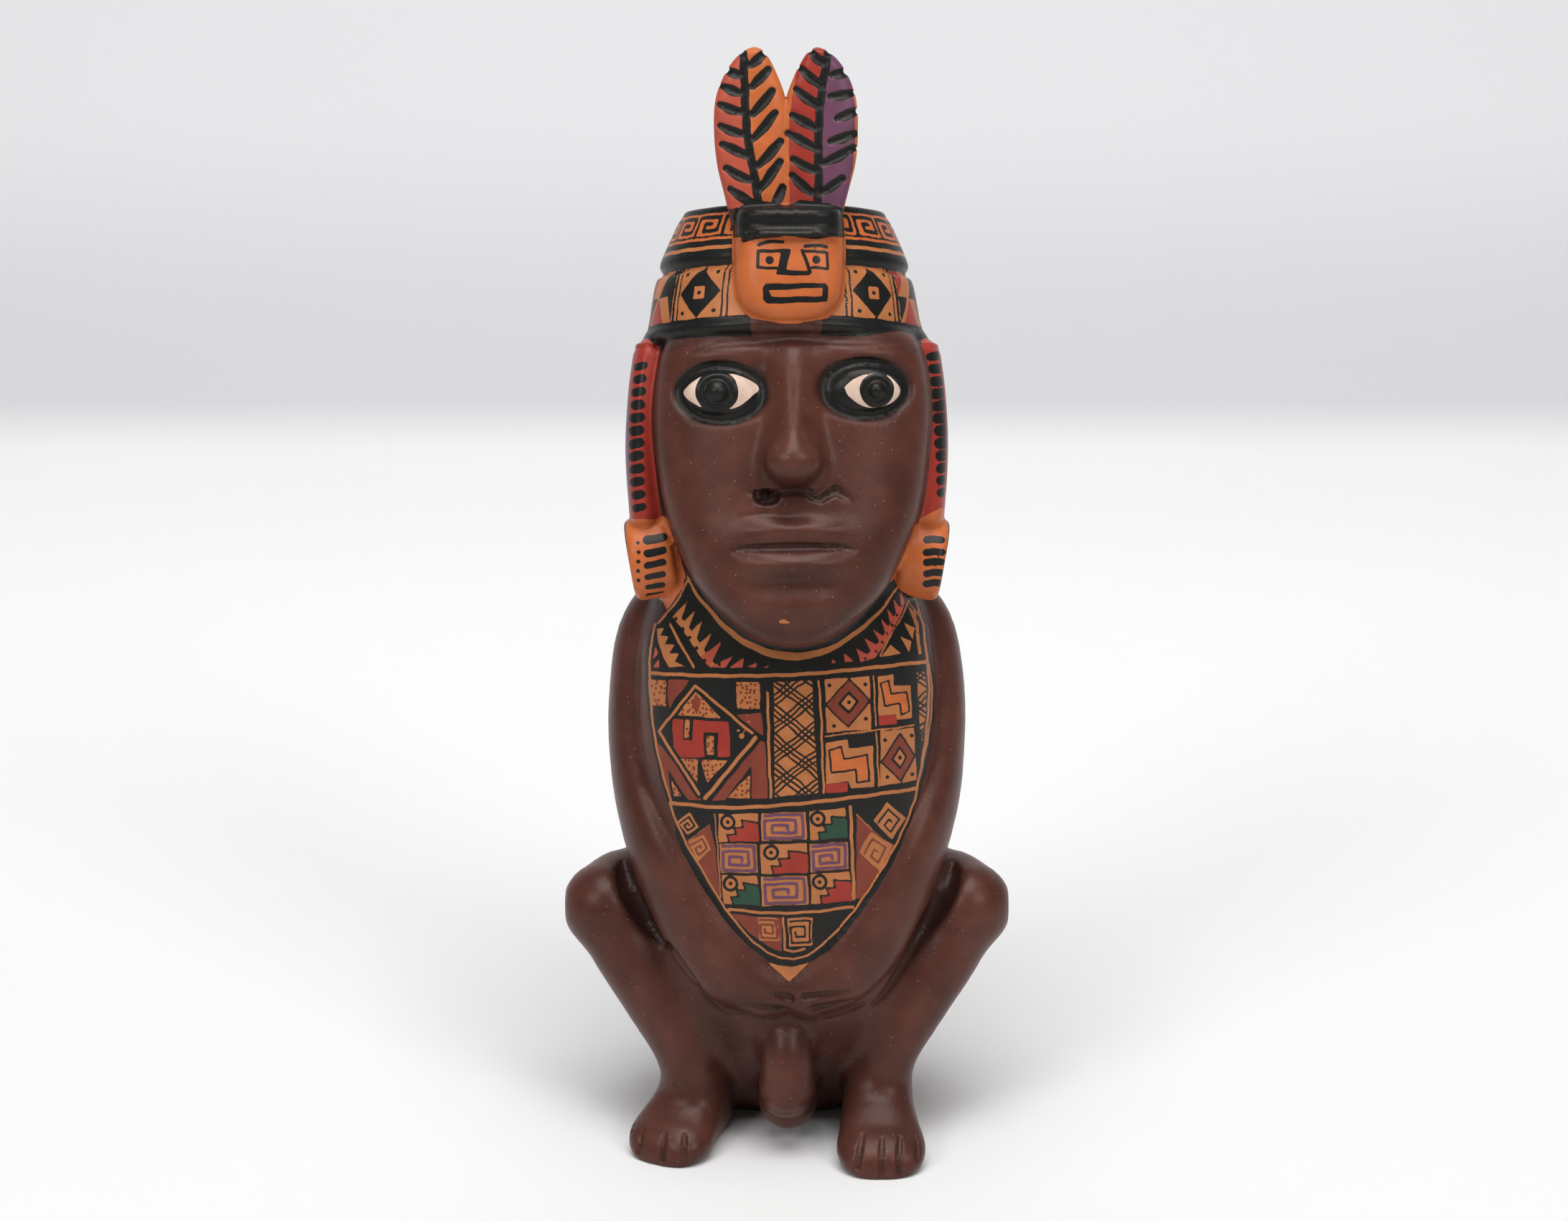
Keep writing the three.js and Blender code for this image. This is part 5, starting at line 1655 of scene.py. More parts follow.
class Crest:
    """The small mask over the forehead and the two feathers above it."""

    WINDOW = (960, 40, 0.2806)
    LEFT_RIB = ((268, 125), (275, 280), (280, 420), (292, 560), (318, 700), (345, 870))
    RIGHT_RIB = ((690, 120), (672, 220), (655, 330), (645, 450), (641, 600), (642, 740), (636, 870))
    BARBS = (
        ((190, 208), (246, 230)), ((170, 288), (250, 318)), ((152, 378), (252, 412)), ((156, 482), (258, 524)),
        ((165, 572), (284, 628)), ((182, 692), (296, 752)), ((204, 795), (312, 868)),
        ((302, 180), (368, 126)), ((312, 288), (390, 205)), ((316, 425), (412, 308)), ((322, 545), (425, 420)),
        ((342, 682), (452, 560)), ((355, 795), (448, 660)), ((425, 880), (462, 790)),
        ((607, 118), (662, 172)), ((557, 200), (655, 285)), ((532, 302), (640, 386)), ((512, 428), (625, 492)),
        ((490, 518), (632, 595)), ((516, 648), (622, 705)), ((512, 728), (604, 815)),
        ((712, 228), (780, 214)), ((702, 335), (803, 322)), ((738, 445), (820, 410)), ((704, 560), (816, 520)),
        ((664, 668), (815, 592)), ((655, 815), (760, 742)),
    )
    HAIR = (
        (243, 900), (300, 852), (380, 856), (480, 884), (545, 850), (700, 868), (748, 905), (740, 985), (722, 1030),
        (640, 1046), (480, 1029), (330, 1046), (265, 1060), (248, 1000),
    )

    def __init__(self, canvas: Canvas, points: Array, uv: Array, form: "Form") -> None:
        head = to_head(points)
        near = (points[:, 2] > 150) & (head[:, 1] < -8) & (np.abs(head[:, 0]) < 16)
        feathers = np.full(len(points), -MARGIN)
        plaque = np.full(len(points), -MARGIN)
        part = head[near]
        feathers[near] = 0.35 - np.minimum(form.feathers[0].distance(part), form.feathers[1].distance(part))
        feathers[head[:, 2] < 74.0] = -MARGIN
        hair_band = form.hair.distance(part)
        mask = np.minimum(form.mask.distance(part), hair_band)
        hair = np.full(len(points), -MARGIN)
        hair[near] = np.minimum(0.5 - hair_band, part[:, 2] - 68.4)
        plaque[near] = np.maximum(0.45 - mask, feathers[near])
        layout = Layout.window(*self.WINDOW)
        front = FEATHER_FRONT + 0.55 * FEATHER_THICKNESS - head[:, 1]
        self.feathers = canvas.sheet(layout, near, uv, np.minimum(feathers, front))
        self.plaque = canvas.sheet(layout, near, uv, plaque)
        self.hair = canvas.sheet(layout, near, uv, hair)

    def paint(self) -> None:
        """Paints the feathers, the hair band and the little face."""
        sheet = self.plaque
        sheet.fill(Paint.ORANGE, ((120, 60), (860, 60), (860, 900), (800, 1470), (180, 1470), (120, 900)))
        self._feathers()
        self.hair.fill(Paint.BLACK, ((150, 700), (850, 700), (850, 1150), (150, 1150)))
        sheet.fill(Paint.BLACK, self.HAIR)
        sheet.curve(Paint.BLACK, ((345, 1074), (400, 1056), (466, 1058)), 18)
        sheet.curve(Paint.BLACK, ((576, 1078), (630, 1076), (682, 1084)), 18)
        sheet.draw(Paint.BLACK, ((338, 1180), (344, 1104), (485, 1102)), 18)
        sheet.draw(Paint.BLACK, ((338, 1184), (440, 1190)), 16)
        sheet.fill(Paint.BLACK, ((458, 1092), (504, 1096), (482, 1196), (600, 1204), (600, 1226), (428, 1222), (446, 1170)))
        sheet.draw(Paint.BLACK, ((560, 1100), (602, 1212)), 18)
        sheet.draw(Paint.BLACK, ((562, 1102), (686, 1112), (686, 1190), (612, 1186)), 16)
        sheet.dot(Paint.BLACK, (400, 1148), 21)
        sheet.dot(Paint.BLACK, (630, 1148), 21)
        sheet.fill(Paint.BLACK, ((380, 1266), (676, 1262), (692, 1282), (684, 1356), (385, 1366), (364, 1345), (366, 1284)))
        sheet.fill(Paint.ORANGE, ((394, 1300), (662, 1284), (660, 1328), (408, 1332)))

    def _feathers(self) -> None:
        """Each feather's halves, its rib and its barbs."""
        sheet = self.feathers
        left = [(x, y) for x, y in self.LEFT_RIB]
        right = [(x, y) for x, y in self.RIGHT_RIB]
        sheet.fill(Paint.ROSE, [(60, 40), (268, 40), *left, (345, 980), (60, 980)])
        sheet.fill(Paint.RED, [(560, 40), (690, 40), *right, (636, 960), (500, 960), (496, 600), (500, 420), (530, 230), (575, 130)])
        sheet.fill(Paint.PURPLE, [(690, 40), (750, 120), (795, 220), (822, 380), (824, 540), (812, 680), (790, 800), (745, 960), (636, 960), *reversed(right)])
        for rib in (self.LEFT_RIB, self.RIGHT_RIB):
            sheet.curve(Paint.BLACK, rib, 42)
        for (x0, y0), (x1, y1) in self.BARBS:
            middle = ((x0 + x1) / 2, (y0 + y1) / 2 + 3, 53)
            sheet.curve(Paint.BLACK, ((x0, y0, 36), middle, (x1, y1, 42)))


class Eyes:
    """The two staring eyes: a black rim, a pale almond and a dark iris."""

    WINDOW = (840, 440, 0.3316)
    RIMS = (((495, 325), (197, 136)), ((1098, 306), (184, 135)))
    ALMONDS = (
        (
            (337, 318), (365, 285), (410, 256), (460, 243), (500, 240), (545, 245), (600, 262), (640, 285), (655, 312),
            (625, 338), (585, 370), (545, 390), (480, 398), (415, 386), (372, 364), (345, 340),
        ),
        (
            (1012, 300), (1040, 275), (1085, 252), (1150, 240), (1200, 252), (1236, 288), (1248, 315), (1232, 350),
            (1190, 378), (1140, 386), (1095, 380), (1060, 362), (1028, 335),
        ),
    )
    IRISES = (((478, 318), 90), ((1150, 313), 72))

    def __init__(self, canvas: Canvas, points: Array, uv: Array) -> None:
        head = to_head(points)
        inside = -12.0 - head[:, 1]
        near = (inside > -MARGIN) & (head[:, 2] > 28) & (head[:, 2] < 50) & (points[:, 2] > 120)
        self.sheet = canvas.sheet(Layout.window(*self.WINDOW), near, uv, inside)

    def paint(self) -> None:
        """Paints both eyes."""
        turns = np.linspace(0, 2 * math.pi, 33)[:-1]
        for (centre, half), almond, (iris, radius) in zip(self.RIMS, self.ALMONDS, self.IRISES):
            rim = np.column_stack([centre[0] + half[0] * np.cos(turns), centre[1] + half[1] * np.sin(turns)])
            self.sheet.fill(Paint.BLACK, rim)
            self.sheet.fill(Paint.CREAM, smooth_path([*almond, almond[0]], 4)[:-1])
            self.sheet.dot(Paint.BLACK, iris, radius)


class Ears:
    """The ear flaps with their rows of dashes, and the round spools below them."""

    WINDOW = (840, 440, 0.3316)
    LEFT_RED = ((60, 150), (225, 165), (224, 397), (240, 640), (288, 862), (180, 862), (60, 850))
    RIGHT_RED = ((1368, 130), (1520, 120), (1520, 815), (1420, 812), (1330, 860), (1349, 714), (1362, 476))
    LEFT_ORANGE = ((60, 850), (180, 855), (288, 858), (326, 1015), (345, 1095), (325, 1150), (290, 1250), (240, 1300), (60, 1300))
    RIGHT_ORANGE = ((1330, 850), (1420, 808), (1540, 820), (1540, 1290), (1330, 1215), (1290, 1110), (1305, 1010))
    DASH_COUNT = 12
    LEFT_STROKES = (936, 992, 1042, 1092, 1135, 1171)
    RIGHT_STROKES = (940, 992, 1034, 1080, 1124)
    RINGS = ((7.2, Paint.BLACK), (6.2, Paint.ORANGE), (4.4, Paint.BLACK), (3.6, Paint.ORANGE), (1.8, Paint.BLACK))

    def __init__(self, canvas: Canvas, points: Array, uv: Array, form: "Form") -> None:
        head = to_head(points)
        near = (points[:, 2] > 100) & (np.abs(head[:, 0]) > 17) & (head[:, 2] < 52) & (head[:, 2] > -9)
        sides = head * np.where(head[:, :1] < 0, (-1.0, 1.0, 1.0), (1.0, 1.0, 1.0))
        flap = np.full(len(points), -MARGIN)
        spool = np.full(len(points), -MARGIN)
        flap[near] = 0.9 - form.flap.distance(sides[near])
        spool[near] = 1.0 - form.spool(sides[near])
        wall = np.full(len(points), -MARGIN)
        wall[near] = 1.0 - form.wall.distance(sides[near])
        ahead = np.minimum(-1.0 - head[:, 1], np.maximum(wall, np.maximum(flap, spool)))
        rim = np.interp(head[:, 2], (6.0, 12.0, 14.5, 28.0, 38.0, 45.4), (-9.4, -9.4, -10.6, -10.2, -9.6, -8.4))
        window = Layout.window(*self.WINDOW)
        self.front = canvas.sheet(window, near & (ahead > -MARGIN), uv, ahead)
        self.marks = canvas.sheet(window, near & (ahead > -MARGIN), uv, np.minimum(ahead, rim - head[:, 1]))
        around = np.column_stack([sides[:, 1] - SPOOL_CENTRE[1], head[:, 2] - SPOOL_CENTRE[2]])
        self.spool = canvas.sheet(ROUND_HAT, near, around, spool)
        self.outside = canvas.sheet(ROUND_HAT, near, around, np.minimum(spool, sides[:, 0] - 29.6))
        self.flap = canvas.sheet(ROUND_HAT, near, around, flap)
        self.flap_side = canvas.sheet(ROUND_HAT, near, around, np.minimum(flap, -30.9 - head[:, 0]))

    def paint(self) -> None:
        """Paints both ears."""
        everything = ((-40, -40), (40, -40), (40, 80), (-40, 80))
        self.flap.fill(Paint.RED, everything)
        sheet = self.front
        sheet.fill(Paint.RED, self.LEFT_RED)
        sheet.fill(Paint.RED, self.RIGHT_RED)
        sheet.fill(Paint.ORANGE, self.LEFT_ORANGE)
        sheet.fill(Paint.ORANGE, self.RIGHT_ORANGE)
        self.flap_side.fill(Paint.PURPLE, everything)
        self.spool.fill(Paint.ORANGE, everything)
        for size, colour in self.RINGS:
            self.outside.dot(colour, (0, 0), size)
        sheet = self.marks
        for share in np.linspace(0, 1, self.DASH_COUNT):
            size = 34 + 8 * math.sin(3.1 * share)
            x, y = 158 - 20 * math.sin(2.6 * share) + 4 * share, 212 + 593 * share
            sheet.draw(Paint.BLACK, ((x - 13, y + 3), (x + 13, y - 3)), size)
            x, y = 1392 + 42 * math.sin(1.7 * share), 170 + 572 * share
            sheet.draw(Paint.BLACK, ((x - 15, y + 2), (x + 16, y - 2)), size + 4)
        for number, y in enumerate(self.LEFT_STROKES):
            sheet.draw(Paint.BLACK, ((186, y + 6), (222, y), (252, y - 6)), 38 - 4 * number)
        for y in self.RIGHT_STROKES:
            sheet.draw(Paint.BLACK, ((1358, y + 2), (1390, y - 3), (1422, y + 1)), 31)
        for y in np.linspace(955, 1110, 5):
            sheet.dot(Paint.BLACK, (148, y), 9)


class HatBands:
    """The hat's painted bands, laid out by the way round the hat and the height up it."""

    FRET_START = -20.6
    FRET_WIDTH = 7.2
    FRET = ((0.06, 0.0), (0.06, 1.0), (0.86, 1.0), (0.86, 0.28), (0.34, 0.28), (0.34, 0.66), (0.6, 0.66))
    LOW, HIGH = 51.7, 61.9
    CELL_HALF = 4.4
    CELL_CENTRES = (-15.8, 16.7, -38.6, 39.6)
    TRIANGLE_CENTRES = (-27.2, 28.2)

    def __init__(self, canvas: Canvas, points: Array, form: "Form") -> None:
        head = to_head(points)
        head[:, 2] -= HAT_ARCH * np.clip(head[:, 1] / HAT_RIM_FRONT, 0, 1) ** 2
        near = (points[:, 2] > 150) & (head[:, 2] > 46) & (head[:, 2] < 77)
        inside = np.full(len(points), -MARGIN)
        wide = 0.45 + 2.4 * np.clip((head[near, 1] + 15.0) / 6.0, 0.0, 1.0) * (head[near, 2] < 56)
        inside[near] = wide - form.hat.distance(head[near])
        half, front, back = form.hat.rows(head[:, 2]).T
        turn = np.arctan2((head[:, 0] - HAT_CENTRE) / half, -(head[:, 1] - (front + back) / 2) / ((back - front) / 2))
        self.sheet = canvas.sheet(ROUND_HAT, near, np.column_stack([24.0 * turn, head[:, 2]]), inside)

    def band(self, colour: Paint, low: float, high: float) -> None:
        """Paints a plain band all the way round."""
        self.sheet.fill(colour, ((-90, low), (90, low), (90, high), (-90, high)))

    def paint(self) -> None:
        """Paints the crown with its fret, the groove, the band of cells and the rim."""
        self.band(Paint.BLACK, 47.0, 51.6)
        self.sheet.bare(((-5.7, 44.0), (6.5, 52.2)))
        self.band(Paint.OCHRE, 51.6, 62.1)
        self.band(Paint.BLACK, 62.1, 65.3)
        self.band(Paint.OCHRE, 65.3, 66.1)
        self.band(Paint.BLACK, 66.1, 67.3)
        self.band(Paint.ORANGE, 67.3, 73.0)
        self.band(Paint.BLACK, 73.0, 74.4)
        self.band(Paint.ORANGE, 74.4, 77.0)
        for number in range(-4, 9):
            start = self.FRET_START + number * self.FRET_WIDTH
            fret = [(start + s * self.FRET_WIDTH, 68.2 + 3.9 * t) for s, t in self.FRET]
            self.sheet.draw(Paint.BLACK, fret, 0.84)
        self.sheet.draw(Paint.BLACK, ((-78, 68.1), (78, 68.1)), 0.5)
        for centre in self.CELL_CENTRES:
            self._diamond_cell(centre)
        for centre in self.TRIANGLE_CENTRES:
            self._triangles(centre)

    def _diamond_cell(self, centre: float) -> None:
        """A square cell with a black diamond, a dot in each corner and a small square in the middle."""
        sheet = self.sheet
        half, low, high = self.CELL_HALF, self.LOW, self.HIGH
        middle = (low + high) / 2
        sheet.fill(Paint.BLACK, ((centre, high), (centre + half, middle), (centre, low), (centre - half, middle)))
        small = 1.15
        sheet.fill(Paint.OCHRE, [(centre + x * small, middle + y * small * 1.1) for x, y in ((-1, -1), (1, -1), (1, 1), (-1, 1))])
        sheet.dot(Paint.BLACK, (centre, middle), 0.42)
        for x in (-1, 1):
            for y in (-1, 1):
                sheet.dot(Paint.BLACK, (centre + x * half * 0.76, middle + y * 3.9), 0.42)
            for out in (0.35, 1.35):
                edge = centre + x * (half + out)
                sheet.draw(Paint.BLACK, ((edge, low), (edge, high)), 0.42)

    def _triangles(self, centre: float) -> None:
        """A cell of black, red and ochre triangles that meet along slanting lines."""
        sheet = self.sheet
        low, high = self.LOW, self.HIGH
        middle = (low + high) / 2
        left, right = centre - 4.9, centre + 4.9
        sheet.fill(Paint.RED, ((left, high), (centre - 1.6, high), (left, middle)))
        sheet.fill(Paint.BLACK, ((centre + 2.2, high), (right, high), (right, middle), (centre - 0.6, middle)))
        sheet.fill(Paint.BLACK, ((left, middle), (left + 3.4, middle), (left, low)))
        sheet.fill(Paint.RED, ((centre - 0.6, middle), (centre + 2.4, low), (centre - 3.6, low)))
        sheet.fill(Paint.BLACK, ((right, middle), (right, low), (centre + 3.0, middle)))
        for edge in (left - 0.5, right + 0.5):
            sheet.draw(Paint.BLACK, ((edge, low), (edge, high)), 0.4)


FINEST = 0.34
HAT_STEP = 0.42
EAR_STEP = 0.5


def srgb(red: float, green: float, blue: float) -> tuple[float, float, float, float]:
    """A colour given as it looks on a screen, from 0 to 255, as the light that it reflects."""
    parts = [value / 255 for value in (red, green, blue)]
    linear = [p / 12.92 if p <= 0.04045 else ((p + 0.055) / 1.055) ** 2.4 for p in parts]
    return (*linear, 1.0)


@dataclass(frozen=True)
class Pots:
    """The colours of the clay, the paints and the painted shade."""

    clay: tuple[float, float, float, float] = srgb(90, 52, 43)
    clay_dark: tuple[float, float, float, float] = srgb(73, 41, 34)
    # The painted shade laid into hollows, grooves and shade spots
    painted_shade: tuple[float, float, float, float] = srgb(38, 24, 21)
    dust: tuple[float, float, float, float] = srgb(190, 170, 155)
    speckle: tuple[float, float, float, float] = srgb(122, 50, 34)
    paints: dict = field(
        default_factory=lambda: {
            Paint.OCHRE: srgb(176, 110, 66),
            Paint.ORANGE: srgb(188, 100, 54),
            Paint.RED: srgb(152, 52, 42),
            Paint.MAROON: srgb(124, 58, 44),
            Paint.PURPLE: srgb(104, 66, 88),
            Paint.GREEN: srgb(40, 72, 56),
            Paint.CREAM: srgb(214, 186, 168),
            Paint.BLACK: srgb(25, 27, 26),
            Paint.ROSE: srgb(176, 80, 62),
        }
    )


POTS = Pots()


class Graph:
    """A short way to add and join shader nodes."""

    def __init__(self, tree: bpy.types.NodeTree) -> None:
        self.tree = tree

    def add(self, kind: str, settings: dict | None = None, inputs: dict | None = None) -> bpy.types.Node:
        """Adds a node, sets its properties, and sets or joins its inputs."""
        node = self.tree.nodes.new(kind)
        for name, value in (settings or {}).items():
            setattr(node, name, value)
        for name, value in (inputs or {}).items():
            if isinstance(value, bpy.types.NodeSocket):
                self.tree.links.new(value, node.inputs[name])
            else:
                node.inputs[name].default_value = value
        return node

    def math(self, operation: str, first, second=0.0, third=0.0) -> bpy.types.NodeSocket:
        """The result of a sum on two or three values."""
        return self.add("ShaderNodeMath", {"operation": operation}, {0: first, 1: second, 2: third}).outputs[0]

    def mix(self, share, first, second) -> bpy.types.NodeSocket:
        """A mix of two colours."""
        node = self.add("ShaderNodeMix", {"data_type": "RGBA"}, {0: share, 6: first, 7: second})
        return node.outputs[2]

    def smooth(self, value, low: float, high: float) -> bpy.types.NodeSocket:
        """0 below low, 1 above high, and a smooth rise between."""
        settings = {"interpolation_type": "SMOOTHSTEP"}
        inputs = {"Value": value, "From Min": low, "From Max": high}
        return self.add("ShaderNodeMapRange", settings, inputs).outputs[0]


def new_group(name: str, sockets: Sequence[tuple[str, str, str]]) -> tuple[bpy.types.NodeTree, Graph]:
    """An empty shader group with named sockets, given as (direction, kind, name)."""
    tree = bpy.data.node_groups.new(name, "ShaderNodeTree")
    for direction, kind, label in sockets:
        tree.interface.new_socket(label, in_out=direction, socket_type=kind)
    return tree, Graph(tree)


def brush_group() -> bpy.types.NodeTree:
    """Turns a paint's distance field into a mask with a slightly rough brush edge."""
    tree, graph = new_group(
        "brush_edge",
        (
            ("INPUT", "NodeSocketFloat", "Field"),
            ("INPUT", "NodeSocketFloat", "Roughness"),
            ("INPUT", "NodeSocketFloat", "Softness"),
            ("OUTPUT", "NodeSocketFloat", "Mask"),
        ),
    )
    start = graph.add("NodeGroupInput")
    moved = graph.math("ADD", start.outputs["Field"], start.outputs["Roughness"])
    scaled = graph.math("DIVIDE", moved, start.outputs["Softness"])
    mask = graph.smooth(scaled, -1.0, 1.0)
    graph.add("NodeGroupOutput", None, {"Mask": mask})
    return tree


def stipple_group() -> bpy.types.NodeTree:
    """Small round speckles on a flat sheet: dark where a cell's own point is near."""
    tree, graph = new_group(
        "speckles",
        (
            ("INPUT", "NodeSocketVector", "Sheet"),
            ("INPUT", "NodeSocketFloat", "Spacing"),
            ("OUTPUT", "NodeSocketFloat", "Mask"),
        ),
    )
    start = graph.add("NodeGroupInput")
    scale = graph.math("DIVIDE", 1.0, start.outputs["Spacing"])
    cells = graph.add(
        "ShaderNodeTexVoronoi",
        {"voronoi_dimensions": "2D"},
        {"Vector": start.outputs["Sheet"], "Scale": scale, "Randomness": 0.75},
    )
    mask = graph.smooth(cells.outputs["Distance"], 0.33, 0.23)
    graph.add("NodeGroupOutput", None, {"Mask": mask})
    return tree


def lattice_group() -> bpy.types.NodeTree:
    """Cross-hatching: two slanting families of lines, three lines close together and then a gap.

    A family counts c = (u sin a + v cos a) / period; in each period lines lie at three places.
    """
    tree, graph = new_group(
        "cross_hatching",
        (
            ("INPUT", "NodeSocketVector", "Sheet"),
            ("INPUT", "NodeSocketFloat", "Period"),
            ("OUTPUT", "NodeSocketFloat", "Mask"),
        ),
    )
    start = graph.add("NodeGroupInput")
    parts = graph.add("ShaderNodeSeparateXYZ", None, {0: start.outputs["Sheet"]})
    bend = graph.add("ShaderNodeTexNoise", {"noise_dimensions": "2D"}, {"Vector": start.outputs["Sheet"], "Scale": 0.2})
    bent = graph.math("MULTIPLY_ADD", bend.outputs[0], 1.0, -0.5)
    total = None
    for slope in (-0.62, 0.62):
        across = graph.math("MULTIPLY", parts.outputs[0], slope)
        height = graph.math("MULTIPLY_ADD", parts.outputs[1], 0.78, across)
        count = graph.math("DIVIDE", graph.math("ADD", height, bent), start.outputs["Period"])
        place = graph.math("FRACT", count)
        near = None
        for line in (0.12, 0.31, 0.5):
            gap = graph.math("ABSOLUTE", graph.math("SUBTRACT", place, line))
            near = gap if near is None else graph.math("MINIMUM", near, gap)
        mask = graph.smooth(near, 0.052, 0.034)
        total = mask if total is None else graph.math("MAXIMUM", total, mask)
    graph.add("NodeGroupOutput", None, {"Mask": total})
    return tree


def clay_group() -> bpy.types.NodeTree:
    """The clay's colour: two browns in soft clouds, with painted shade in the hollows and a few pale grains of dust."""
    colours = ("Light", "Dark", "PaintedShade", "Dust")
    sockets = [("INPUT", "NodeSocketVector", "Place"), ("INPUT", "NodeSocketFloat", "Depth")]
    sockets += [("INPUT", "NodeSocketColor", name) for name in colours]
    sockets += [("OUTPUT", "NodeSocketColor", "Colour"), ("OUTPUT", "NodeSocketFloat", "Grains")]
    tree, graph = new_group("clay_with_painted_shade", sockets)
    start = graph.add("NodeGroupInput")
    place = start.outputs["Place"]
    cloud = graph.add("ShaderNodeTexNoise", None, {"Vector": place, "Scale": 55.0, "Detail": 4.0, "Roughness": 0.6})
    base = graph.mix(graph.smooth(cloud.outputs[0], 0.35, 0.7), start.outputs["Light"], start.outputs["Dark"])
    # Painted shade: the clay darkens towards the shade colour by the depth of hollows, grooves and shade spots
    base = graph.mix(graph.math("MULTIPLY", start.outputs["Depth"], 0.8), base, start.outputs["PaintedShade"])
    grain = graph.add("ShaderNodeTexVoronoi", None, {"Vector": place, "Scale": 1150.0})
    chance = graph.add("ShaderNodeTexWhiteNoise", None, {"Vector": grain.outputs["Position"]})
    grains = graph.math("MULTIPLY", graph.smooth(grain.outputs["Distance"], 0.15, 0.08), graph.smooth(chance.outputs[0], 0.86, 0.88))
    colour = graph.mix(graph.math("MULTIPLY", grains, 0.5), base, start.outputs["Dust"])
    graph.add("NodeGroupOutput", None, {"Colour": colour, "Grains": grains})
    return tree


@dataclass
class Statuette:
    """The figure: one moulded piece of painted terracotta."""

    form: Form = field(default_factory=Form)
    base_step: float = 2.4

    def build(self) -> bpy.types.Object:
        """Makes the figure's mesh and its material.

        Returns:
            The one object that stands for the solid.
        """
        low = np.array([-48.0, -36.0, -2.0])
        high = np.array([48.0, 36.0, 223.0])
        skin = Skin(self.form.distance, low, high, self.base_step)
        log.info("first skin: %d faces", len(skin.faces))
        skin.refine(self.spacing, 8)
        log.info("refined skin: %d faces", len(skin.faces))
        skin.shape = self.form.detailed
        skin.relax(2)
        skin.settle(3)
        skin.vertices = np.clip(skin.vertices, BOX_LOW, BOX_HIGH)
        mesh = bpy.data.meshes.new("statuette_skin")
        mesh.vertices.add(len(skin.vertices))
        mesh.vertices.foreach_set("co", (skin.vertices * MM).ravel())
        mesh.loops.add(skin.faces.size)
        mesh.loops.foreach_set("vertex_index", skin.faces.ravel().astype(np.int32))
        mesh.polygons.add(len(skin.faces))
        mesh.polygons.foreach_set("loop_start", np.arange(0, skin.faces.size, 3, dtype=np.int32))
        mesh.polygons.foreach_set("use_smooth", np.ones(len(skin.faces), bool))
        mesh.update()
        self.paint(mesh, skin)
        piece = bpy.data.objects.new("painted_figure", mesh)
        bpy.context.scene.collection.objects.link(piece)
        mesh.materials.append(self.dress())
        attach(piece, "root")
        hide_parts("statuette")
        return piece

    def spacing(self, points: Array) -> Array:
        """The edge length asked for at each place, in millimetres: fine at grooves and paint's edges."""
        head = to_head(points)
        u, v = VIEW.plane(points).T
        x, y, z = head.T
        high = points[:, 2] > 100
        size = np.where(points[:, 1] < -4, 1.8, 2.4)
        size[(points[:, 1] < -4) & (points[:, 2] < 75)] = 1.35
        size[(points[:, 1] < -8) & (points[:, 2] < 18)] = 1.0
        size[high & (y < -16) & (z > -12) & (z < 34)] = 1.0
        size[high & (np.abs(x) > 22) & (y < 6) & (z < 48) & (z > -4)] = 1.1
        nostril = np.hypot(x - NOSTRIL[0], z - NOSTRIL[1])
        front = high & (y < -14)
        size[front] = np.minimum(size[front], np.maximum(0.35, 0.35 * nostril[front]))
        reach = self.form.face_grooves.measure(x[front], z[front])[1]
        size[front] = np.minimum(size[front], np.maximum(0.55, 0.7 * reach))
        low = (points[:, 1] < 0) & (points[:, 2] < 75)
        reach = self.form.body_grooves.measure(points[low])[1]
        size[low] = np.minimum(size[low], np.maximum(0.42, 0.75 * reach))
        for eye_x, eye_z in EYES:
            size[front & (np.hypot(x - eye_x, z - eye_z) < 5.0)] = 0.55
        fine = np.full(len(points), FAR)
        wide = np.interp(v, (-74, -62, -45, -28, -12, 0, 16), (8, 18, 26, 31, 34, 35, 29))
        neck = (points[:, 2] < 112) | ((points[:, 1] > -20.0) & (points[:, 2] < 124))
        bib = (v < 14) & (v > -74) & (points[:, 1] < -1.5) & neck & (points[:, 2] > 34)
        fine[bib & (np.abs(u - 0.4) < wide)] = FINEST
        for eye_x, eye_z in EYES:
            fine[front & (np.hypot((x - eye_x) / 10.5, (z - eye_z) / 7.5) < 1)] = FINEST
        fine[high & (z > 46) & (z < 77)] = np.where(y < 8, HAT_STEP, 0.6)[high & (z > 46) & (z < 77)]
        fine[high & (z > 52) & (y < -16.4) & (np.abs(x) < 16)] = HAT_STEP
        fine[high & (np.abs(x) > 17) & (y < -2) & (z < 48) & (z > -9)] = EAR_STEP
        painted = np.flatnonzero(fine < FAR)
        edge = np.abs(self.painted(points[painted]).fields).min(axis=0)
        size[painted] = np.minimum(size[painted], np.maximum(fine[painted], 1.8 * edge))
        return size

    def painted(self, points: Array) -> Canvas:
        """The paint on some points of the skin."""
        uv = VIEW.plane(points)
        canvas = Canvas(len(points))
        HatBands(canvas, points, self.form).paint()
        Ears(canvas, points, uv, self.form).paint()
        Crest(canvas, points, uv, self.form).paint()
        Eyes(canvas, points, uv).paint()
        Bib(canvas, points, uv, self.form).paint()
        window = Layout.window(*Ears.WINDOW)
        chin = canvas.sheet(window, points[:, 2] > 100, uv, -10.0 - points[:, 1])
        chin.fill(Paint.OCHRE, ((732, 1278), (745, 1270), (770, 1275), (792, 1288), (770, 1294), (740, 1290)))
        chin.dot(Paint.OCHRE, (826, 1280), 8)
        return canvas

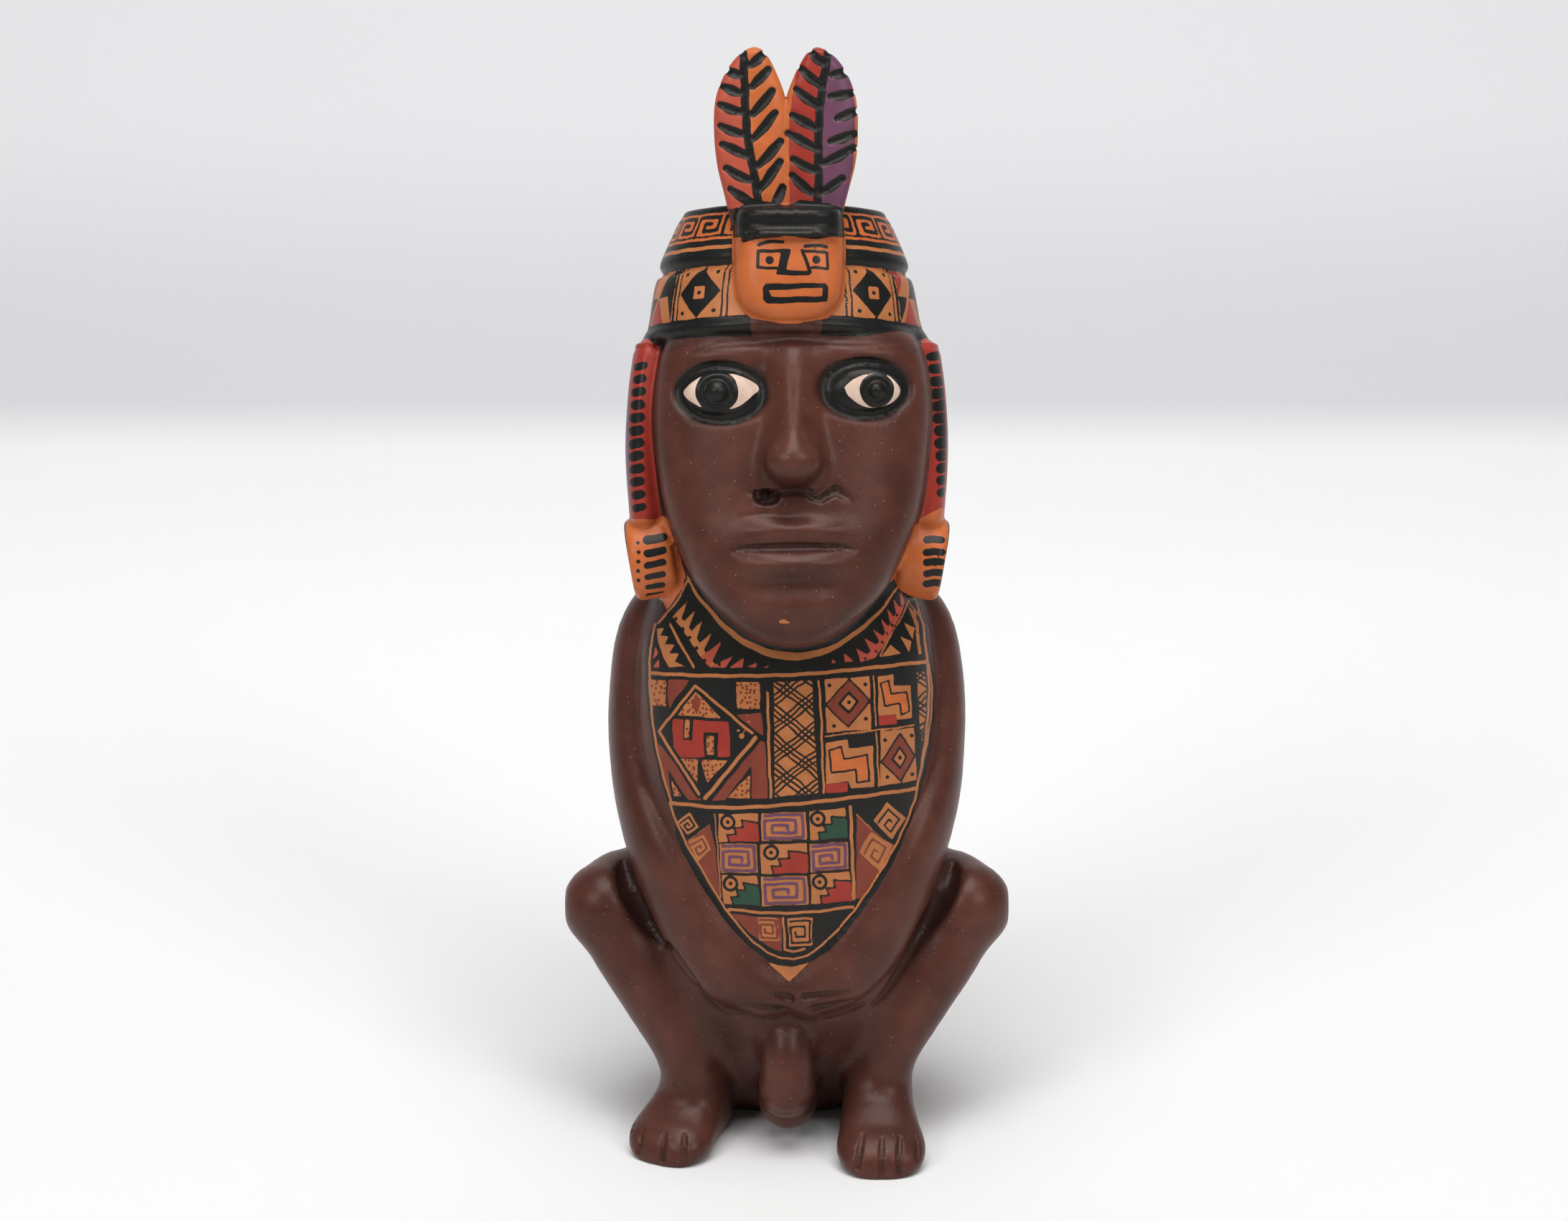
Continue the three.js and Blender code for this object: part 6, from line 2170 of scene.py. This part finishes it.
    def paint(self, mesh: bpy.types.Mesh, skin: Skin) -> None:
        """Lays the patterns on the skin and keeps their fields on the mesh's vertices.

        The depth is painted shade: how much less room there is just outside the skin than on a flat surface, how
        far a groove is sunk, or how dark a spot of painted shade is, whichever is most.
        """
        points = skin.vertices
        uv = VIEW.plane(points)
        canvas = self.painted(points)
        out = skin.normals()
        # Painted shade in hollows: the room 2 mm and 6 mm out from the skin, and how far the skin is sunk below the
        # form
        close = 1.0 - self.form.distance(points + 2.0 * out) / 2.0
        wide = 0.8 * (1.0 - self.form.distance(points + 6.0 * out) / 6.0)
        sunk = (-0.14 - self.form.distance(points)) / 0.5
        depth = np.clip(np.maximum(np.maximum(close, wide), sunk), 0.0, 1.0)
        # Spots of painted shade under the lower lip and low between the legs, on the front only
        for u, v, half_u, half_v, strength in PAINTED_SHADE_SPOTS:
            spot = np.hypot((uv[:, 0] - u) / half_u, (uv[:, 1] - v) / half_v)
            depth = np.maximum(depth, np.where(points[:, 1] < 0, groove(spot, 1.4, strength), 0.0))
        layers = np.vstack([canvas.fields, depth])
        for number in range(4):
            values = np.ascontiguousarray(layers[3 * number : 3 * number + 3].T)
            attribute = mesh.attributes.new(f"paint_{number}", "FLOAT_VECTOR", "POINT")
            attribute.data.foreach_set("vector", values.ravel())
        sheet = mesh.attributes.new("sheet", "FLOAT_VECTOR", "POINT")
        sheet.data.foreach_set("vector", np.column_stack([uv, np.zeros(len(uv))]).ravel())

    def dress(self) -> bpy.types.Material:
        """The figure's painted surface."""
        material = bpy.data.materials.new("painted_terracotta")
        material.use_nodes = True
        tree = material.node_tree
        shader = tree.nodes["Principled BSDF"]
        graph = Graph(tree)
        fields = []
        for number in range(4):
            attribute = graph.add("ShaderNodeAttribute", {"attribute_name": f"paint_{number}"})
            parts = graph.add("ShaderNodeSeparateXYZ", None, {0: attribute.outputs["Vector"]})
            fields += list(parts.outputs)
        sheet = graph.add("ShaderNodeAttribute", {"attribute_name": "sheet"}).outputs["Vector"]
        place = graph.add("ShaderNodeTexCoord").outputs["Object"]
        # The clay group lays painted shade over the clay where the depth channel, fields[11], is high
        clay = graph.add(
            "ShaderNodeGroup",
            {"node_tree": clay_group()},
            {"Place": place, "Depth": fields[11], "Light": POTS.clay, "Dark": POTS.clay_dark, "PaintedShade": POTS.painted_shade, "Dust": POTS.dust},
        )
        ragged = graph.add("ShaderNodeTexNoise", None, {"Vector": place, "Scale": 1400.0, "Detail": 2.0})
        edge = graph.math("MULTIPLY_ADD", ragged.outputs[0], 0.06, -0.03)
        brush = brush_group()

        def mask(layer: Paint | Fine) -> bpy.types.NodeSocket:
            inputs = {"Field": fields[layer.value], "Roughness": edge, "Softness": 0.05}
            return graph.add("ShaderNodeGroup", {"node_tree": brush}, inputs).outputs["Mask"]

        shade = graph.add("ShaderNodeTexNoise", None, {"Vector": place, "Scale": 260.0, "Detail": 3.0})
        tone = graph.math("MULTIPLY_ADD", shade.outputs[0], 0.5, 0.75)
        colour = clay.outputs["Colour"]
        cover = None
        for paint in Paint:
            share = mask(paint)
            colour = graph.mix(share, colour, POTS.paints[paint])
            cover = share if cover is None else graph.math("ADD", cover, share)
            if paint is Paint.OCHRE:
                speckles = graph.add("ShaderNodeGroup", {"node_tree": stipple_group()}, {"Sheet": sheet, "Spacing": 0.95})
                share = graph.math("MULTIPLY", mask(Fine.STIPPLE), speckles.outputs["Mask"])
                colour = graph.mix(share, colour, POTS.speckle)
                hatching = graph.add("ShaderNodeGroup", {"node_tree": lattice_group()}, {"Sheet": sheet, "Period": 4.6})
                share = graph.math("MULTIPLY", mask(Fine.LATTICE), hatching.outputs["Mask"])
                colour = graph.mix(share, colour, POTS.paints[Paint.BLACK])
        toned = graph.add("ShaderNodeVectorMath", {"operation": "SCALE"}, {0: colour, "Scale": tone})
        tree.links.new(toned.outputs[0], shader.inputs["Base Color"])
        shader.inputs["Roughness"].default_value = 0.35
        shader.inputs["Specular IOR Level"].default_value = 0.24
        shader.inputs["Specular Tint"].default_value = (1.0, 0.88, 0.83, 1.0)
        grain = graph.add("ShaderNodeTexNoise", None, {"Vector": place, "Scale": 1100.0, "Detail": 3.0})
        height = graph.math("MULTIPLY_ADD", cover, 0.5, grain.outputs[0])
        bump = graph.add("ShaderNodeBump", None, {"Strength": 0.35, "Distance": 0.0001, "Height": height})
        tree.links.new(bump.outputs[0], shader.inputs["Normal"])
        return material


def main() -> None:
    """Builds the camera, the studio and the figure, in that order."""
    logging.basicConfig(level=logging.INFO, format="%(name)s: %(message)s")
    bpy.context.scene.view_settings.view_transform = "Standard"
    VIEW.build()
    Studio().build()
    piece = Statuette().build()
    log.info("%s: %d vertices, %d faces", piece.name, len(piece.data.vertices), len(piece.data.polygons))


if __name__ == "__main__":
    main()
